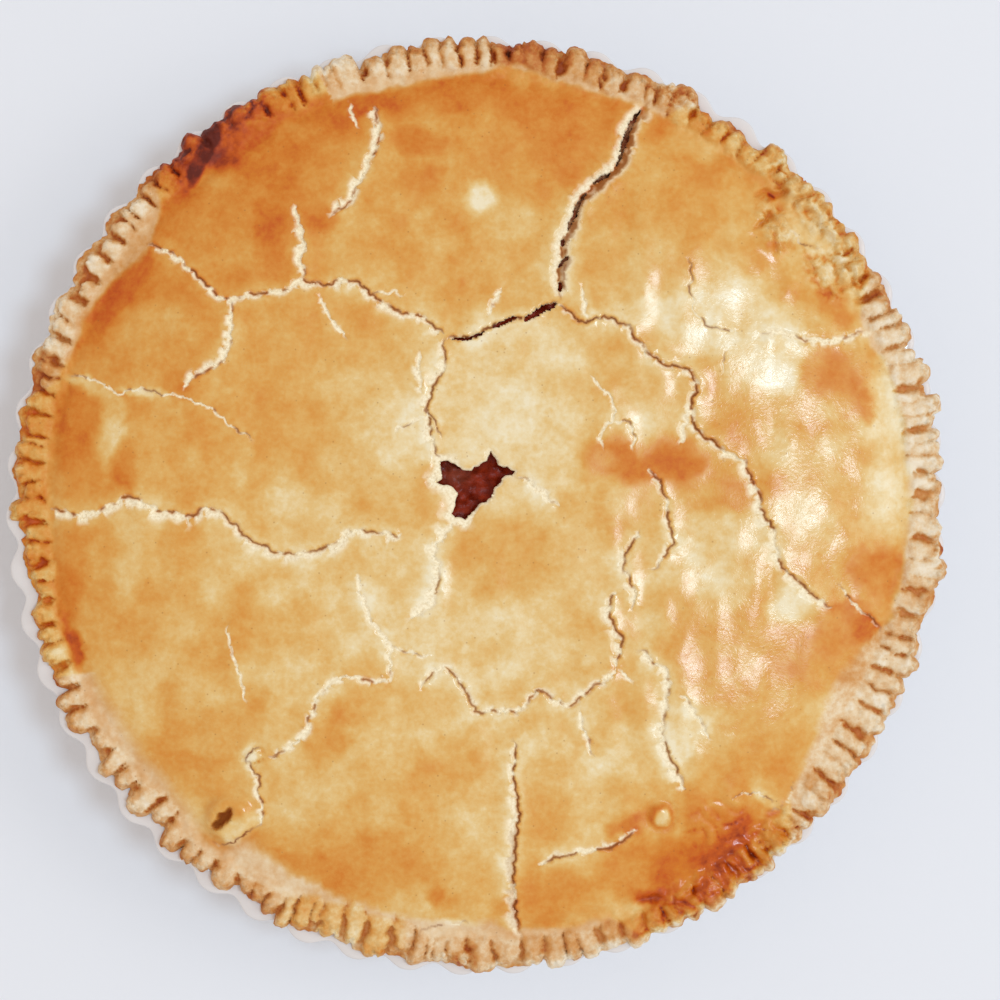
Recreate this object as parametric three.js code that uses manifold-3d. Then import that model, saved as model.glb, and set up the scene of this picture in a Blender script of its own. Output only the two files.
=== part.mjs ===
// A corned beef pie in its white fluted flan dish: a cracked, vented pastry lid with a fork-crimped
// border, over a meat filling. Millimetres, +Z up, origin at the middle of the dish's underside.
// Seen from above, +X is to the right and +Y is away from the viewer.

import * as THREE from "three";
import { mergeVertices } from "three/addons/utils/BufferGeometryUtils.js";
import Module from "manifold-3d";

const wasm = await Module();
wasm.setup();

// Clearance between pieces that touch
const gap = 0.3;

// Dish, with its radii taken to the crest of a flute
const dishHeight = 42;
const dishLipRadius = 140;
const dishFootRadius = 127;
const dishWall = 5.5;
const dishFloor = 6;
const dishHeel = 4;
const fluteCount = 54;
const fluteDepth = 3.6;
const fluteTurn = 1.5; // degrees from +X to a crest
const fluteSteps = 5; // mesh steps round one flute
const crestWidth = 1.3; // above 1, a flute's crest is broader than its valley

// Pastry lid
const lidRadius = 127;
const lidThickness = 4.2;
const lidLift = 7.5; // rise of the lid from its edge to its middle
const lidFlatness = 5; // higher gives a flatter top and a rounder shoulder
const lidRows = 14;
const lidMesh = 9; // spacing of the mesh along a row
const undersideRows = 6;
const swell = 0.7; // slow waves over the whole lid
const swellLength = 21;

// Crimped border, pressed with a fork
const borderOuterRadius = 138.2;
const borderThickness = 4.3;
const borderDroop = 1.6; // how far the outer ends of the ridges fall
const ridgeStart = 129;
const ridgeEnd = 136;
const crimpCount = 134;
const crimpDepth = 1.8;
const crimpPull = 0.9; // how far a groove sits in from the outer edge
const crimpSteps = 3; // mesh steps in one ridge and its groove
const ragged = 0.9; // unevenness of the border's outer edge
const ridgeUneven = 0.6; // unevenness of the ridges' heights, as a share of that
const fluteFollow = 0.3; // how far the border's edge follows the dish's flutes

// Filling
const fillingSegments = 54;
const fillingRows = 4;

// Where the lid has puffed up or sunk: centre, height and spread
const bumps = [
  { x: 0, y: 6, rise: -1.4, spread: 24 },
  { x: -80, y: 48, rise: 1.4, spread: 26 },
  { x: 94, y: -4, rise: 1.5, spread: 22 },
  { x: 62, y: 88, rise: 1.2, spread: 24 },
  { x: -28, y: -86, rise: 1, spread: 26 },
  { x: -76, y: -93, rise: 2.4, spread: 8 },
  { x: 55, y: -92, rise: 1.2, spread: 6 },
];

// The steam hole's outline, a torn star
const ventOutline = [
  [-10.5, 13.3], [-6.2, 12.7], [-2, 10.3], [2.2, 12.8], [4.7, 16], [7, 12.1], [12, 9.8],
  [8, 7.6], [5, 2], [1.2, 0], [-2.9, -4.5], [-7.3, -2.6], [-5.3, 3.4], [-12.2, 7.1], [-9.9, 8.6],
];

// The pit in the lump at the lower left
const pit = { x: -76, y: -92.5, width: 4.6, length: 7, depth: 3.2, turn: -0.6 };

// Cracks in the lid: widest gape, depth and the bends of the path. A crack with no depth is open
// right through to the filling.
const cracks = [
  { gape: 3.6, path: [[24.5, 60], [25, 71], [28.5, 85], [35, 95.5], [42, 100.5], [45, 110], [51, 120]] },
  { gape: 1.8, path: [[24.5, 61], [18, 56.7], [12.5, 55.7], [4.5, 52.7], [-2, 49.4], [-8, 49.3]] },
  {
    gape: 1.8,
    depth: 2.4,
    path: [[-9.5, 50.5], [-17.5, 56.8], [-31, 62], [-39.5, 67.2], [-43.5, 64.5], [-52, 67.5], [-56, 63.7],
      [-74.5, 61.2], [-84, 69], [-87.5, 73], [-98, 78]],
  },
  { gape: 2, depth: 1.8, path: [[-52, 67.5], [-53.3, 73], [-52.4, 83.3], [-54, 89]] },
  { gape: 1.6, depth: 1.8, path: [[-73, 60.5], [-73.8, 48], [-75, 43], [-84, 38], [-86.5, 34.5]] },
  { gape: 2.6, depth: 2, path: [[-30.5, 119], [-28, 112], [-31.5, 103], [-36.3, 93], [-43, 86]] },
  { gape: 1.4, depth: 1.2, path: [[-122, 39], [-107.5, 33.5], [-92, 33], [-80, 29.5], [-66, 19.5]] },
  {
    gape: 2,
    depth: 2.4,
    path: [[-124, -2], [-111, -1.2], [-104, 3], [-95.5, -1.5], [-79.5, -0.7], [-64, -11.7], [-53, -14.3],
      [-40.5, -10.7], [-37, -6.7], [-22, -8.5]],
  },
  { gape: 1.7, depth: 3, path: [[-9.3, 49], [-8.7, 43], [-12.3, 35.5], [-14.8, 25], [-10.5, 14.5]] },
  { gape: 1.7, depth: 2.4, path: [[-6.5, -5], [-13.8, -14], [-11, -18.5], [-13.3, -30.2], [-19.5, -33.5]] },
  { gape: 1.2, depth: 1.2, path: [[34, 38.7], [40, 32], [42, 27], [36.4, 20], [38, 16.5]] },
  {
    gape: 1.9,
    depth: 3,
    path: [[24.5, 59], [32.5, 54], [37, 56.5], [43, 54.7], [50, 45.8], [63, 40.4], [66.3, 34.5], [64, 25.5],
      [71.5, 17.7], [80.3, 13.7], [80.7, 9], [85, 1.5], [88.8, -10], [90.3, -18.3], [106, -30]],
  },
  { gape: 1.4, depth: 1.6, path: [[51, 11], [56.7, 2], [59, -11.5], [52, -19]] },
  { gape: 1.6, depth: 2, path: [[48, -7.5], [43, -19.5], [46.6, -26], [45.8, -31]] },
  {
    gape: 2.4,
    depth: 2.4,
    path: [[42, -26], [38.6, -30], [42.5, -38.5], [41, -48], [28.5, -59.5], [17, -54.5], [11.5, -62],
      [0, -62], [-7, -49.5], [-10, -47.5], [-16, -54.5]],
  },
  {
    gape: 1.3,
    depth: 1.8,
    path: [[-35, -20], [-31.5, -32.5], [-24.5, -41.5], [-25.5, -52.5], [-36.5, -50], [-47, -56.5],
      [-51.5, -69.3], [-61.5, -74.5]],
  },
  { gape: 4, depth: 3, path: [[11.5, -70], [13, -95], [10.3, -106], [10.8, -119], [13, -126]] },
  { gape: 1.4, depth: 1.6, path: [[18.5, -107], [31, -103.3], [39, -102], [48, -96.5]] },
  { gape: 1.7, depth: 1.8, path: [[49, -43], [57.5, -50.5], [55, -70], [60.5, -79.3], [62, -84.5]] },
  { gape: 1.6, depth: 1.6, path: [[60, -56], [66, -64], [68.6, -69.5]] },
  { gape: 1.8, depth: 1.2, path: [[84, 50], [93, 50.5], [106, 49], [119, 52.5]] },
];
const crackStep = 8; // spacing of the teeth along a crack's torn edges
const crackTear = 0.35; // unevenness of those edges, as a share of the gape
const crackEnd = 0.12; // half width at a crack's ends

// Knobs of pastry standing on the lid and the border: place, half sizes and turn
const crags = [
  { x: 136.1, y: 29.6, half: [3.4, 2.6, 1.8], turn: 0.5 },
  { x: 137.8, y: -19.4, half: [3.6, 2.7, 1.8], turn: -0.4 },
  { x: -137.4, y: 16, half: [2.8, 2.6, 1.8], turn: 0.2 },
  { x: 60, y: 124, half: [4.2, 2.6, 1.8], turn: -0.5 },
  { x: 87, y: 107, half: [4, 2.8, 2], turn: -0.9 },
  { x: 96, y: 99, half: [3.6, 2.6, 2], turn: -0.6 },
  { x: 85, y: 88, half: [4.6, 2.6, 1.8], turn: 1.1 },
  { x: 87, y: 78.5, half: [3, 2.4, 1.5], turn: 0.3 },
  { x: 92.5, y: 79.5, half: [2.8, 2.4, 1.5], turn: -0.2 },
  { x: 103, y: 88, half: [3.8, 2.8, 2], turn: -0.7 },
  { x: 112, y: 76, half: [4.4, 3, 2], turn: -1 },
  { x: 99, y: -96, half: [3.6, 2.4, 1.8], turn: 0.8 },
  { x: 108, y: -82, half: [3.4, 2.6, 1.8], turn: 1 },
  { x: -67, y: 121, half: [3.2, 2.4, 1.6], turn: 0.5 },
  { x: -82, y: 109, half: [3.4, 2.6, 1.6], turn: 0.7 },
];

// The level of the pastry's underside on the lip of the dish
const pastryBase = dishHeight + gap;
const fullTurn = Math.PI * 2;

// Random numbers from -1 to 1, the same on every run
function seeded(seed) {
  const span = 2 ** 32;
  let state = seed;
  return () => {
    state = (state * 1664525 + 1013904223) % span;
    return (state / span) * 2 - 1;
  };
}

// Depth of the dish's flutes at an angle, from 0 on a crest to 1 in a valley
function fluteWave(angle) {
  const first = THREE.MathUtils.degToRad(fluteTurn);
  return (0.5 - 0.5 * Math.cos((angle - first) * fluteCount)) ** crestWidth;
}

// Height of the lid's underside above its edge
function dome(radius) {
  return lidLift * (1 - Math.min(radius / lidRadius, 1) ** lidFlatness);
}

// Waves, puffs and hollows of the lid's top, fading out at its edge
function relief(x, y) {
  const fade = Math.max(0, 1 - (Math.hypot(x, y) / lidRadius) ** 4);
  let height = swell * Math.sin(x / swellLength + 1.3) * Math.cos(y / swellLength - 0.4);
  for (const bump of bumps) {
    const away = Math.hypot(x - bump.x, y - bump.y) / bump.spread;
    height += bump.rise * Math.exp(-away * away);
  }
  return height * fade;
}

function lidTop(x, y) {
  return pastryBase + lidThickness + dome(Math.hypot(x, y)) + relief(x, y);
}

// Turns a profile of [radius, height] points about Z, with drawIn(radius, angle) taken off each radius
function turned(profile, segments, drawIn) {
  const points = profile.map(([radius, z]) => new THREE.Vector2(radius, z));
  const lathe = new THREE.LatheGeometry(points, segments);
  const position = lathe.attributes.position;
  for (let i = 0; i < position.count; i += 1) {
    const [profileRadius, z] = profile[i % profile.length];
    const column = Math.floor(i / profile.length) % segments;
    const angle = (column / segments) * fullTurn;
    const radius = profileRadius - drawIn(profileRadius, angle);
    position.setXYZ(i, radius * Math.cos(angle), radius * Math.sin(angle), z);
  }
  return lathe;
}

// A closed geometry as a solid that can be joined and cut, and back
function solidOf(geometry) {
  geometry.deleteAttribute("normal");
  geometry.deleteAttribute("uv");
  const merged = mergeVertices(geometry);
  const vertProperties = new Float32Array(merged.attributes.position.array);
  const triVerts = new Uint32Array(merged.index.array);
  return new wasm.Manifold(new wasm.Mesh({ numProp: 3, vertProperties, triVerts }));
}

function geometryOf(solid) {
  const mesh = solid.getMesh();
  const geometry = new THREE.BufferGeometry();
  geometry.setAttribute("position", new THREE.BufferAttribute(mesh.vertProperties, 3));
  geometry.setIndex(new THREE.BufferAttribute(mesh.triVerts, 1));
  geometry.computeVertexNormals();
  return geometry;
}

// A rounded knob of given half sizes
function knob(x, y, z, half, turn) {
  const geometry = new THREE.IcosahedronGeometry(1, 1);
  geometry.scale(half[0], half[1], half[2]);
  geometry.rotateZ(turn);
  geometry.translate(x, y, z);
  return solidOf(geometry);
}

// The dish: foot, fluted wall, rounded lip, fluted inside and flat floor
function dishGeometry() {
  const lipMiddle = dishLipRadius - dishWall / 2;
  const lipLevel = dishHeight - dishWall / 2;
  const innerFoot = dishFootRadius - dishWall;
  const profile = [
    [0, 0],
    [dishFootRadius - dishHeel, 0],
    [dishFootRadius, dishHeel],
    [dishLipRadius, lipLevel],
    [lipMiddle + dishWall * 0.3, dishHeight],
    [lipMiddle - dishWall * 0.3, dishHeight],
    [dishLipRadius - dishWall, lipLevel],
    [innerFoot, dishFloor],
    [0, dishFloor],
  ];
  const plainWithin = innerFoot - dishHeel * 3;
  return turned(profile, fluteCount * fluteSteps, (radius, angle) => {
    const share = THREE.MathUtils.smoothstep(radius, plainWithin, innerFoot);
    return fluteDepth * share * fluteWave(angle);
  });
}

// The filling: fills the dish inside its flutes and domes up under the lid
function fillingSolid() {
  const footRadius = dishFootRadius - dishWall - fluteDepth - gap * 2;
  const topRadius = dishLipRadius - dishWall - fluteDepth - gap;
  const profile = [
    [0, dishFloor + gap],
    [footRadius - dishHeel, dishFloor + gap],
    [footRadius, dishFloor + dishHeel + gap],
    [topRadius, dishHeight - dishWall / 2],
  ];
  for (let row = 0; row <= fillingRows; row += 1) {
    const radius = lidRadius * (1 - row / fillingRows);
    profile.push([radius, pastryBase - gap + dome(radius) - gap]);
  }
  const body = solidOf(turned(profile, fillingSegments, () => 0));
  const crown = profile[profile.length - 1][1];
  return body
    .add(knob(-3.5, 8, crown - 0.6, [3.4, 2.6, 1.6], 0.4))
    .add(knob(3, 6, crown - 0.7, [3, 3.2, 1.7], -0.3))
    .add(knob(-2, 1.5, crown - 0.6, [2.6, 2, 1.5], 0.9));
}

// A ring of points about Z, where at(angle, i) gives a point's [radius, height]
function ring(count, at) {
  return Array.from({ length: count }, (_, i) => {
    const angle = (i / count) * fullTurn;
    const [radius, z] = at(angle, i);
    return new THREE.Vector3(radius * Math.cos(angle), radius * Math.sin(angle), z);
  });
}

// A ring on the lid, with points about as far apart as spacing, on the surface height(x, y)
function lidRing(radius, spacing, height) {
  const count = Math.max(1, Math.round((fullTurn * radius) / spacing));
  return ring(count, (angle) => [radius, height(radius * Math.cos(angle), radius * Math.sin(angle))]);
}

// A closed skin through rings from the middle of the top, over the edge, to the middle below. Each
// ring may have its own number of points, and the first and last are a single point.
function skin(rings) {
  const index = [];
  let start = 0;
  for (let k = 0; k < rings.length - 1; k += 1) {
    const inner = rings[k].length;
    const outer = rings[k + 1].length;
    const next = start + inner;
    let i = 0;
    let j = 0;
    while (i < inner || j < outer) {
      const a = start + (i % inner);
      const b = next + (j % outer);
      if (j < outer && (j + 1) / outer <= (i + 1) / inner) {
        j += 1;
        if (outer > 1) {
          index.push(a, b, next + (j % outer));
        }
      } else {
        i += 1;
        if (inner > 1) {
          index.push(a, b, start + (i % inner));
        }
      }
    }
    start = next;
  }
  const geometry = new THREE.BufferGeometry().setFromPoints(rings.flat());
  geometry.setIndex(index);
  return geometry;
}

// The uncut pastry: the domed lid, the crimped border on the dish's lip, and the plain underside
function pastrySolid() {
  const random = seeded(7);
  const reaches = Array.from({ length: crimpCount }, () => random() * ragged);
  const rises = Array.from({ length: crimpCount }, () => random() * ragged * ridgeUneven);
  const edgeWave = (angle) => fluteDepth * fluteFollow * fluteWave(angle);
  const crimpRing = (radius, z, isEdge) =>
    ring(crimpCount * crimpSteps, (angle, i) => {
      const ridge = Math.floor(i / crimpSteps);
      const inGroove = i % crimpSteps === 0;
      const uneven = isEdge ? reaches[ridge] - edgeWave(angle) - (inGroove ? crimpPull : 0) : 0;
      return [radius + uneven, z + (inGroove ? -crimpDepth : rises[ridge])];
    });
  const underside = (x, y) => pastryBase + dome(Math.hypot(x, y));
  const top = pastryBase + borderThickness;
  const rings = [];
  for (let row = 0; row < lidRows; row += 1) {
    rings.push(lidRing((lidRadius * row) / lidRows, lidMesh, lidTop));
  }
  rings.push(ring(crimpCount, () => [lidRadius, pastryBase + lidThickness]));
  rings.push(crimpRing(ridgeStart, top, false));
  rings.push(crimpRing(ridgeEnd, top, false));
  rings.push(crimpRing(borderOuterRadius, top - borderDroop, true));
  rings.push(ring(crimpCount, (angle) => [borderOuterRadius - crimpPull - edgeWave(angle), pastryBase]));
  for (let row = undersideRows; row >= 0; row -= 1) {
    rings.push(lidRing((lidRadius * row) / undersideRows, lidRadius / undersideRows, underside));
  }
  return solidOf(skin(rings));
}

// The points of a crack's path, spaced evenly enough for its edges to be torn
function crackStations(path) {
  const stations = [];
  for (let i = 0; i < path.length - 1; i += 1) {
    const from = new THREE.Vector2(...path[i]);
    const to = new THREE.Vector2(...path[i + 1]);
    const pieces = Math.max(1, Math.round(from.distanceTo(to) / crackStep));
    for (let piece = 0; piece < pieces; piece += 1) {
      stations.push(from.clone().lerp(to, piece / pieces));
    }
  }
  stations.push(new THREE.Vector2(...path[path.length - 1]));
  return stations;
}

// The cut that makes a crack: its torn outline, extruded and laid on the curve of the lid
function crackCutter(crack, random) {
  const stations = crackStations(crack.path);
  const left = [];
  const right = [];
  stations.forEach((station, i) => {
    const before = stations[Math.max(i - 1, 0)];
    const after = stations[Math.min(i + 1, stations.length - 1)];
    const along = after.clone().sub(before).normalize();
    const across = new THREE.Vector2(-along.y, along.x);
    const share = i / (stations.length - 1);
    const opening = Math.sqrt(4 * share * (1 - share));
    const sides = [1, -1].map((side) => {
      const half = (crack.gape / 2) * opening * (1 + crackTear * random());
      return station.clone().addScaledVector(across, side * Math.max(half, crackEnd));
    });
    left.push(sides[0]);
    right.unshift(sides[1]);
  });
  const depth = crack.depth ?? lidThickness + lidLift;
  const above = lidThickness;
  const cutter = new THREE.ExtrudeGeometry(new THREE.Shape([...right, ...left]), {
    depth: depth + above,
    bevelEnabled: false,
  });
  const position = cutter.attributes.position;
  for (let i = 0; i < position.count; i += 1) {
    const level = lidTop(position.getX(i), position.getY(i)) - depth;
    position.setZ(i, position.getZ(i) + level);
  }
  return solidOf(cutter);
}

// The steam hole, cut straight down through the lid
function ventCutter() {
  const outline = ventOutline.map(([x, y]) => new THREE.Vector2(x, y));
  const cutter = new THREE.ExtrudeGeometry(new THREE.Shape(outline), {
    depth: lidLift + lidThickness * 2,
    bevelEnabled: false,
  });
  cutter.translate(0, 0, pastryBase);
  return solidOf(cutter);
}

// The pastry: lid, border and knobs joined, then cracked, vented and pitted
function crustSolid() {
  let crust = pastrySolid();
  for (const crag of crags) {
    const inside = Math.hypot(crag.x, crag.y) < ridgeStart;
    const level = inside ? lidTop(crag.x, crag.y) : pastryBase + borderThickness / 2;
    crust = crust.add(knob(crag.x, crag.y, level, crag.half, crag.turn));
  }
  const random = seeded(23);
  for (const crack of cracks) {
    crust = crust.subtract(crackCutter(crack, random));
  }
  const pitHalf = [pit.width / 2, pit.length / 2, pit.depth];
  return crust
    .subtract(ventCutter())
    .subtract(knob(pit.x, pit.y, lidTop(pit.x, pit.y), pitHalf, pit.turn));
}

function named(name, geometry, color, roughness) {
  const mesh = new THREE.Mesh(geometry, new THREE.MeshStandardMaterial({ color, roughness, metalness: 0 }));
  mesh.name = name;
  return mesh;
}

const pie = new THREE.Group();
pie.add(named("dish", dishGeometry(), 0xf4f4f2, 0.15));
pie.add(named("filling", geometryOf(fillingSolid()), 0x5a1c16, 0.35));
pie.add(named("crust", geometryOf(crustSolid()), 0xdca55c, 0.5));

export default pie;
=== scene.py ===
import math

import bpy
import numpy as np
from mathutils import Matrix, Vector
from mathutils.geometry import delaunay_2d_cdt


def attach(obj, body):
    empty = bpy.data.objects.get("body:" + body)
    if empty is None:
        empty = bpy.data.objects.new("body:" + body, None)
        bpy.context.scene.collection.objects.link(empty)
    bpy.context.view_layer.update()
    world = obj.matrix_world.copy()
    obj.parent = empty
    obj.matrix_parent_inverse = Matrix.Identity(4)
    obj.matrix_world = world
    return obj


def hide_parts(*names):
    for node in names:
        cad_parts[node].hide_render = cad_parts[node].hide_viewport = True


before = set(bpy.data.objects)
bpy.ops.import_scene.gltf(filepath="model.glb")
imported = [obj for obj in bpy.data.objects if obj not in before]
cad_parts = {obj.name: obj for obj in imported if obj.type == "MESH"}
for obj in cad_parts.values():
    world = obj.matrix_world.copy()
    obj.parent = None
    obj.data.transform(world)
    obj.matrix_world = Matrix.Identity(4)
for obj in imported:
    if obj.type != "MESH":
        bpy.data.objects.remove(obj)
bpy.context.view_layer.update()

mm = 0.001
print("frame loaded:", ", ".join(sorted(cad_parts)))


# small helpers for fields over the pie, all in millimetres
def smooth(value, low, high):
    share = np.clip((value - low) / (high - low), 0, 1)
    return share * share * (3 - 2 * share)


def fade(value, low, high):
    return 1 - smooth(value, low, high)


# rises from a to b and falls from c to d
def between(value, a, b, c, d):
    return smooth(value, a, b) * fade(value, c, d)


def bell(x, y, px, py, rx, ry):
    return np.exp(-(((x - px) / rx) ** 2 + ((y - py) / ry) ** 2))


# places along and across a direction through px, py
def turned(x, y, px, py, turn):
    c = math.cos(turn)
    s = math.sin(turn)
    return (x - px) * c + (y - py) * s, (y - py) * c - (x - px) * s


def polar(radius, angle):
    return np.column_stack([radius * np.cos(angle), radius * np.sin(angle)])


def pathDistance(x, y, path):
    return np.hypot(x[:, None] - path[None, :, 0], y[:, None] - path[None, :, 1]).min(1)


def raiseTo(field, part, value):
    field[part] = np.maximum(field[part], value)


def noise(x, y, size, seed):
    table = np.random.default_rng(seed).uniform(-1, 1, (128, 128))
    u = x / size + 64
    v = y / size + 64
    i = np.floor(u).astype(int)
    j = np.floor(v).astype(int)
    a = smooth(u - i, 0, 1)
    b = smooth(v - j, 0, 1)
    i0, i1, j0, j1 = i % 128, (i + 1) % 128, j % 128, (j + 1) % 128
    near = table[i0, j0] * (1 - a) + table[i1, j0] * a
    far = table[i0, j1] * (1 - a) + table[i1, j1] * a
    return near * (1 - b) + far * b


def rough(x, y, size, seed):
    return (noise(x, y, size, seed) + 0.5 * noise(x, y, size / 2.1, seed + 1)
            + 0.25 * noise(x, y, size / 4.3, seed + 2))


# points at even steps along a path, and how far along they are
def evenPath(path, step):
    path = np.array(path, float)
    length = np.concatenate([[0], np.cumsum(np.hypot(*np.diff(path, axis=0).T))])
    at = np.linspace(0, length[-1], max(int(length[-1] / step), 3) + 1)
    return np.column_stack([np.interp(at, length, path[:, 0]), np.interp(at, length, path[:, 1])]), at


# breaks each stretch in two again and again, so that the line wanders like torn dough
def tornPath(bends, step, swing, seed, corners=False):
    rng = np.random.default_rng(seed)
    path = np.array(bends, float) if corners else evenPath(bends, 3.2)[0]
    for level in range(4):
        along = np.diff(path, axis=0)
        across = np.column_stack([-along[:, 1], along[:, 0]])
        middle = (path[:-1] + path[1:]) / 2
        middle += across * rng.uniform(-swing, swing, (len(along), 1)) * 0.82 ** level
        joined = np.empty((len(path) + len(middle), 2))
        joined[0::2] = path
        joined[1::2] = middle
        path = joined
    return evenPath(path, step)


def inside(points, loop):
    found = np.zeros(len(points), bool)
    near = np.nonzero(((points > loop.min(0)) & (points < loop.max(0))).all(1))[0]
    x, y = points[near].T
    hit = np.zeros(len(near), bool)
    for (ax, ay), (bx, by) in zip(loop, np.roll(loop, -1, 0)):
        if ay != by:
            hit ^= ((ay > y) != (by > y)) & (x < (bx - ax) * (y - ay) / (by - ay) + ax)
    found[near] = hit
    return found


# points kept are no nearer to the edge of a hole than the gap
def clearOf(points, loops, gap):
    keep = np.ones(len(points), bool)
    for loop in loops:
        near = np.nonzero(((points > loop.min(0) - gap) & (points < loop.max(0) + gap)).all(1))[0]
        for part in np.array_split(near, max(len(near) * len(loop) // 4000000, 1)):
            keep[part[pathDistance(*points[part].T, loop) < gap]] = False
    return points[keep]


def thin(points, cell):
    _, first = np.unique(np.round(points / cell).astype(int), axis=0, return_index=True)
    return points[np.sort(first)]


def hexPoints(radius, step, x=0, y=0):
    across = np.arange(-radius, radius, step)
    rows = enumerate(np.arange(-radius, radius, step * 0.866))
    found = [np.column_stack([across + i % 2 * step / 2, np.full(len(across), v)]) for i, v in rows]
    found = np.concatenate(found)
    return found[np.hypot(*found.T) < radius] + (x, y)


def triangulate(loops, points):
    edges = []
    start = 0
    for loop in loops:
        edges += [(start + i, start + (i + 1) % len(loop)) for i in range(len(loop))]
        start += len(loop)
    coords = [Vector(p) for p in np.concatenate([*loops, points]).tolist()]
    verts, _, faces, origin, _, _ = delaunay_2d_cdt(coords, edges, [], 1, 1e-5)
    verts = np.array([tuple(v) for v in verts])
    faces = np.array(faces)
    for hole in loops[1:]:
        faces = faces[~inside(verts[faces].mean(axis=1), hole)]
    a, b, c = (verts[faces[:, k]] for k in range(3))
    downward = (b[:, 0] - a[:, 0]) * (c[:, 1] - a[:, 1]) < (b[:, 1] - a[:, 1]) * (c[:, 0] - a[:, 0])
    faces[downward] = faces[downward][:, ::-1]
    return verts, faces, [o[0] if o else -1 for o in origin]


# loops of edges that have one face only, the largest first
def rimChains(flat, faces):
    edges = np.concatenate([faces[:, [0, 1]], faces[:, [1, 2]], faces[:, [2, 0]]]).tolist()
    known = {tuple(e) for e in edges}
    follow = {a: b for a, b in edges if (b, a) not in known}
    chains = []
    left = set(follow)
    while left:
        at = left.pop()
        chain = [at]
        while follow[chain[-1]] != at:
            chain.append(follow[chain[-1]])
            left.discard(chain[-1])
        chains.append(chain)
    chains.sort(key=lambda chain: -np.ptp(flat[chain], axis=0).max())
    return chains, follow


# closed solid between a top and a base sheet, with walls along the outline and the holes
def sheetSolid(name, loops, points, topAt, baseAt, rows, bulge, narrow=1.0, coarse=7.0):
    ragged = 0.22  # how uneven the walls are
    flat, faces, _ = triangulate(loops, points)
    heights, marks = topAt(flat)
    count = len(flat)
    chains, follow = rimChains(flat, faces)
    rim = np.concatenate(chains)
    place = {v: i for i, v in enumerate(rim.tolist())}
    rimFlat = flat[rim]
    after = flat[[follow[v] for v in rim.tolist()]] - rimFlat
    outward = np.column_stack([after[:, 1], -after[:, 0]])
    outward /= np.maximum(np.hypot(*outward.T), 1e-9)[:, None]
    low = baseAt(rimFlat * narrow)
    verts = [np.column_stack([flat, heights])]
    for row in range(1, rows + 1):
        share = row / rows
        curve = math.sin(math.pi * share)
        uneven = rough(rimFlat[:, 0] + 40 * share, rimFlat[:, 1], 1.6, 71)
        swell = bulge * curve + ragged * curve * uneven
        spot = rimFlat * (1 - share + narrow * share) + outward * swell[:, None]
        verts.append(np.column_stack([spot, heights[rim] * (1 - share) + low * share]))
    steps = [rim] + [count + len(rim) * k + np.arange(len(rim)) for k in range(rows)]
    ahead = np.array([place[follow[v]] for v in rim.tolist()])
    pairs = zip(steps, steps[1:])
    walls = [np.column_stack([below, below[ahead], above[ahead], above]) for above, below in pairs]
    loopsBelow = []
    start = 0
    for chain in chains:
        loopsBelow.append(rimFlat[start:start + len(chain)] * narrow)
        start += len(chain)
    middle = hexPoints(np.hypot(*loopsBelow[0].T).min() - coarse / 2, coarse)
    middle = clearOf(middle, loopsBelow, coarse * 0.4)
    for hole in loopsBelow[1:]:
        middle = middle[~inside(middle, hole)]
    under, underFaces, origin = triangulate(loopsBelow, middle)
    total = count + len(rim) * rows
    index = []
    added = []
    for i, source in enumerate(origin):
        if 0 <= source < len(rim):
            index.append(int(steps[-1][source]))
        else:
            index.append(total + len(added))
            added.append(i)
    verts.append(np.column_stack([under[added], baseAt(under[added])]))
    verts = np.concatenate(verts) * mm
    allFaces = faces.tolist() + np.concatenate(walls).tolist()
    allFaces += np.array(index)[underFaces[:, ::-1]].tolist()
    mesh = bpy.data.meshes.new(name)
    mesh.from_pydata(verts.tolist(), [], allFaces)
    mesh.polygons.foreach_set("use_smooth", np.ones(len(mesh.polygons), bool))
    for mark, values in marks.items():
        sides = np.tile(values[rim], (rows, 1))
        if mark == "flour":
            sides[:, len(chains[0]):] = 1  # walls of the holes are bare crumb
        whole = np.concatenate([values, sides.ravel(), np.full(len(added), values.mean())])
        mesh.attributes.new(mark, "FLOAT", "POINT").data.foreach_set("value", whole.astype(np.float32))
    mesh.update()
    piece = bpy.data.objects.new(name, mesh)
    bpy.context.scene.collection.objects.link(piece)
    print(name, "triangles:", len(faces) + 2 * len(rim) * rows + len(underFaces), "holes:", len(chains) - 1)
    return piece


# node helpers: an input is either a value or the output that feeds it
def node(tree, kind, inputs=None, **settings):
    made = tree.nodes.new(kind)
    for name, value in settings.items():
        setattr(made, name, value)
    for key, value in (inputs or {}).items():
        if isinstance(value, bpy.types.NodeSocket):
            tree.links.new(value, made.inputs[key])
        else:
            made.inputs[key].default_value = value
    return made


def calc(tree, operation, *values, clamp=False):
    inputs = dict(enumerate(values))
    return node(tree, "ShaderNodeMath", inputs, operation=operation, use_clamp=clamp).outputs[0]


def blendColour(tree, share, first, second):
    return node(tree, "ShaderNodeMix", {0: share, 6: first, 7: second}, data_type="RGBA").outputs[2]


def spread(tree, value, low, high, start=0.0, end=1.0):
    inputs = {"Value": value, "From Min": low, "From Max": high, "To Min": start, "To Max": end}
    return node(tree, "ShaderNodeMapRange", inputs).outputs[0]


def tone(red, green, blue):
    parts = [c / 255 for c in (red, green, blue)]
    return (*[c / 12.92 if c <= 0.04045 else ((c + 0.055) / 1.055) ** 2.4 for c in parts], 1)


def newMaterial(name):
    made = bpy.data.materials.new(name)
    made.use_nodes = True
    return made, made.node_tree, made.node_tree.nodes["Principled BSDF"]


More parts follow.
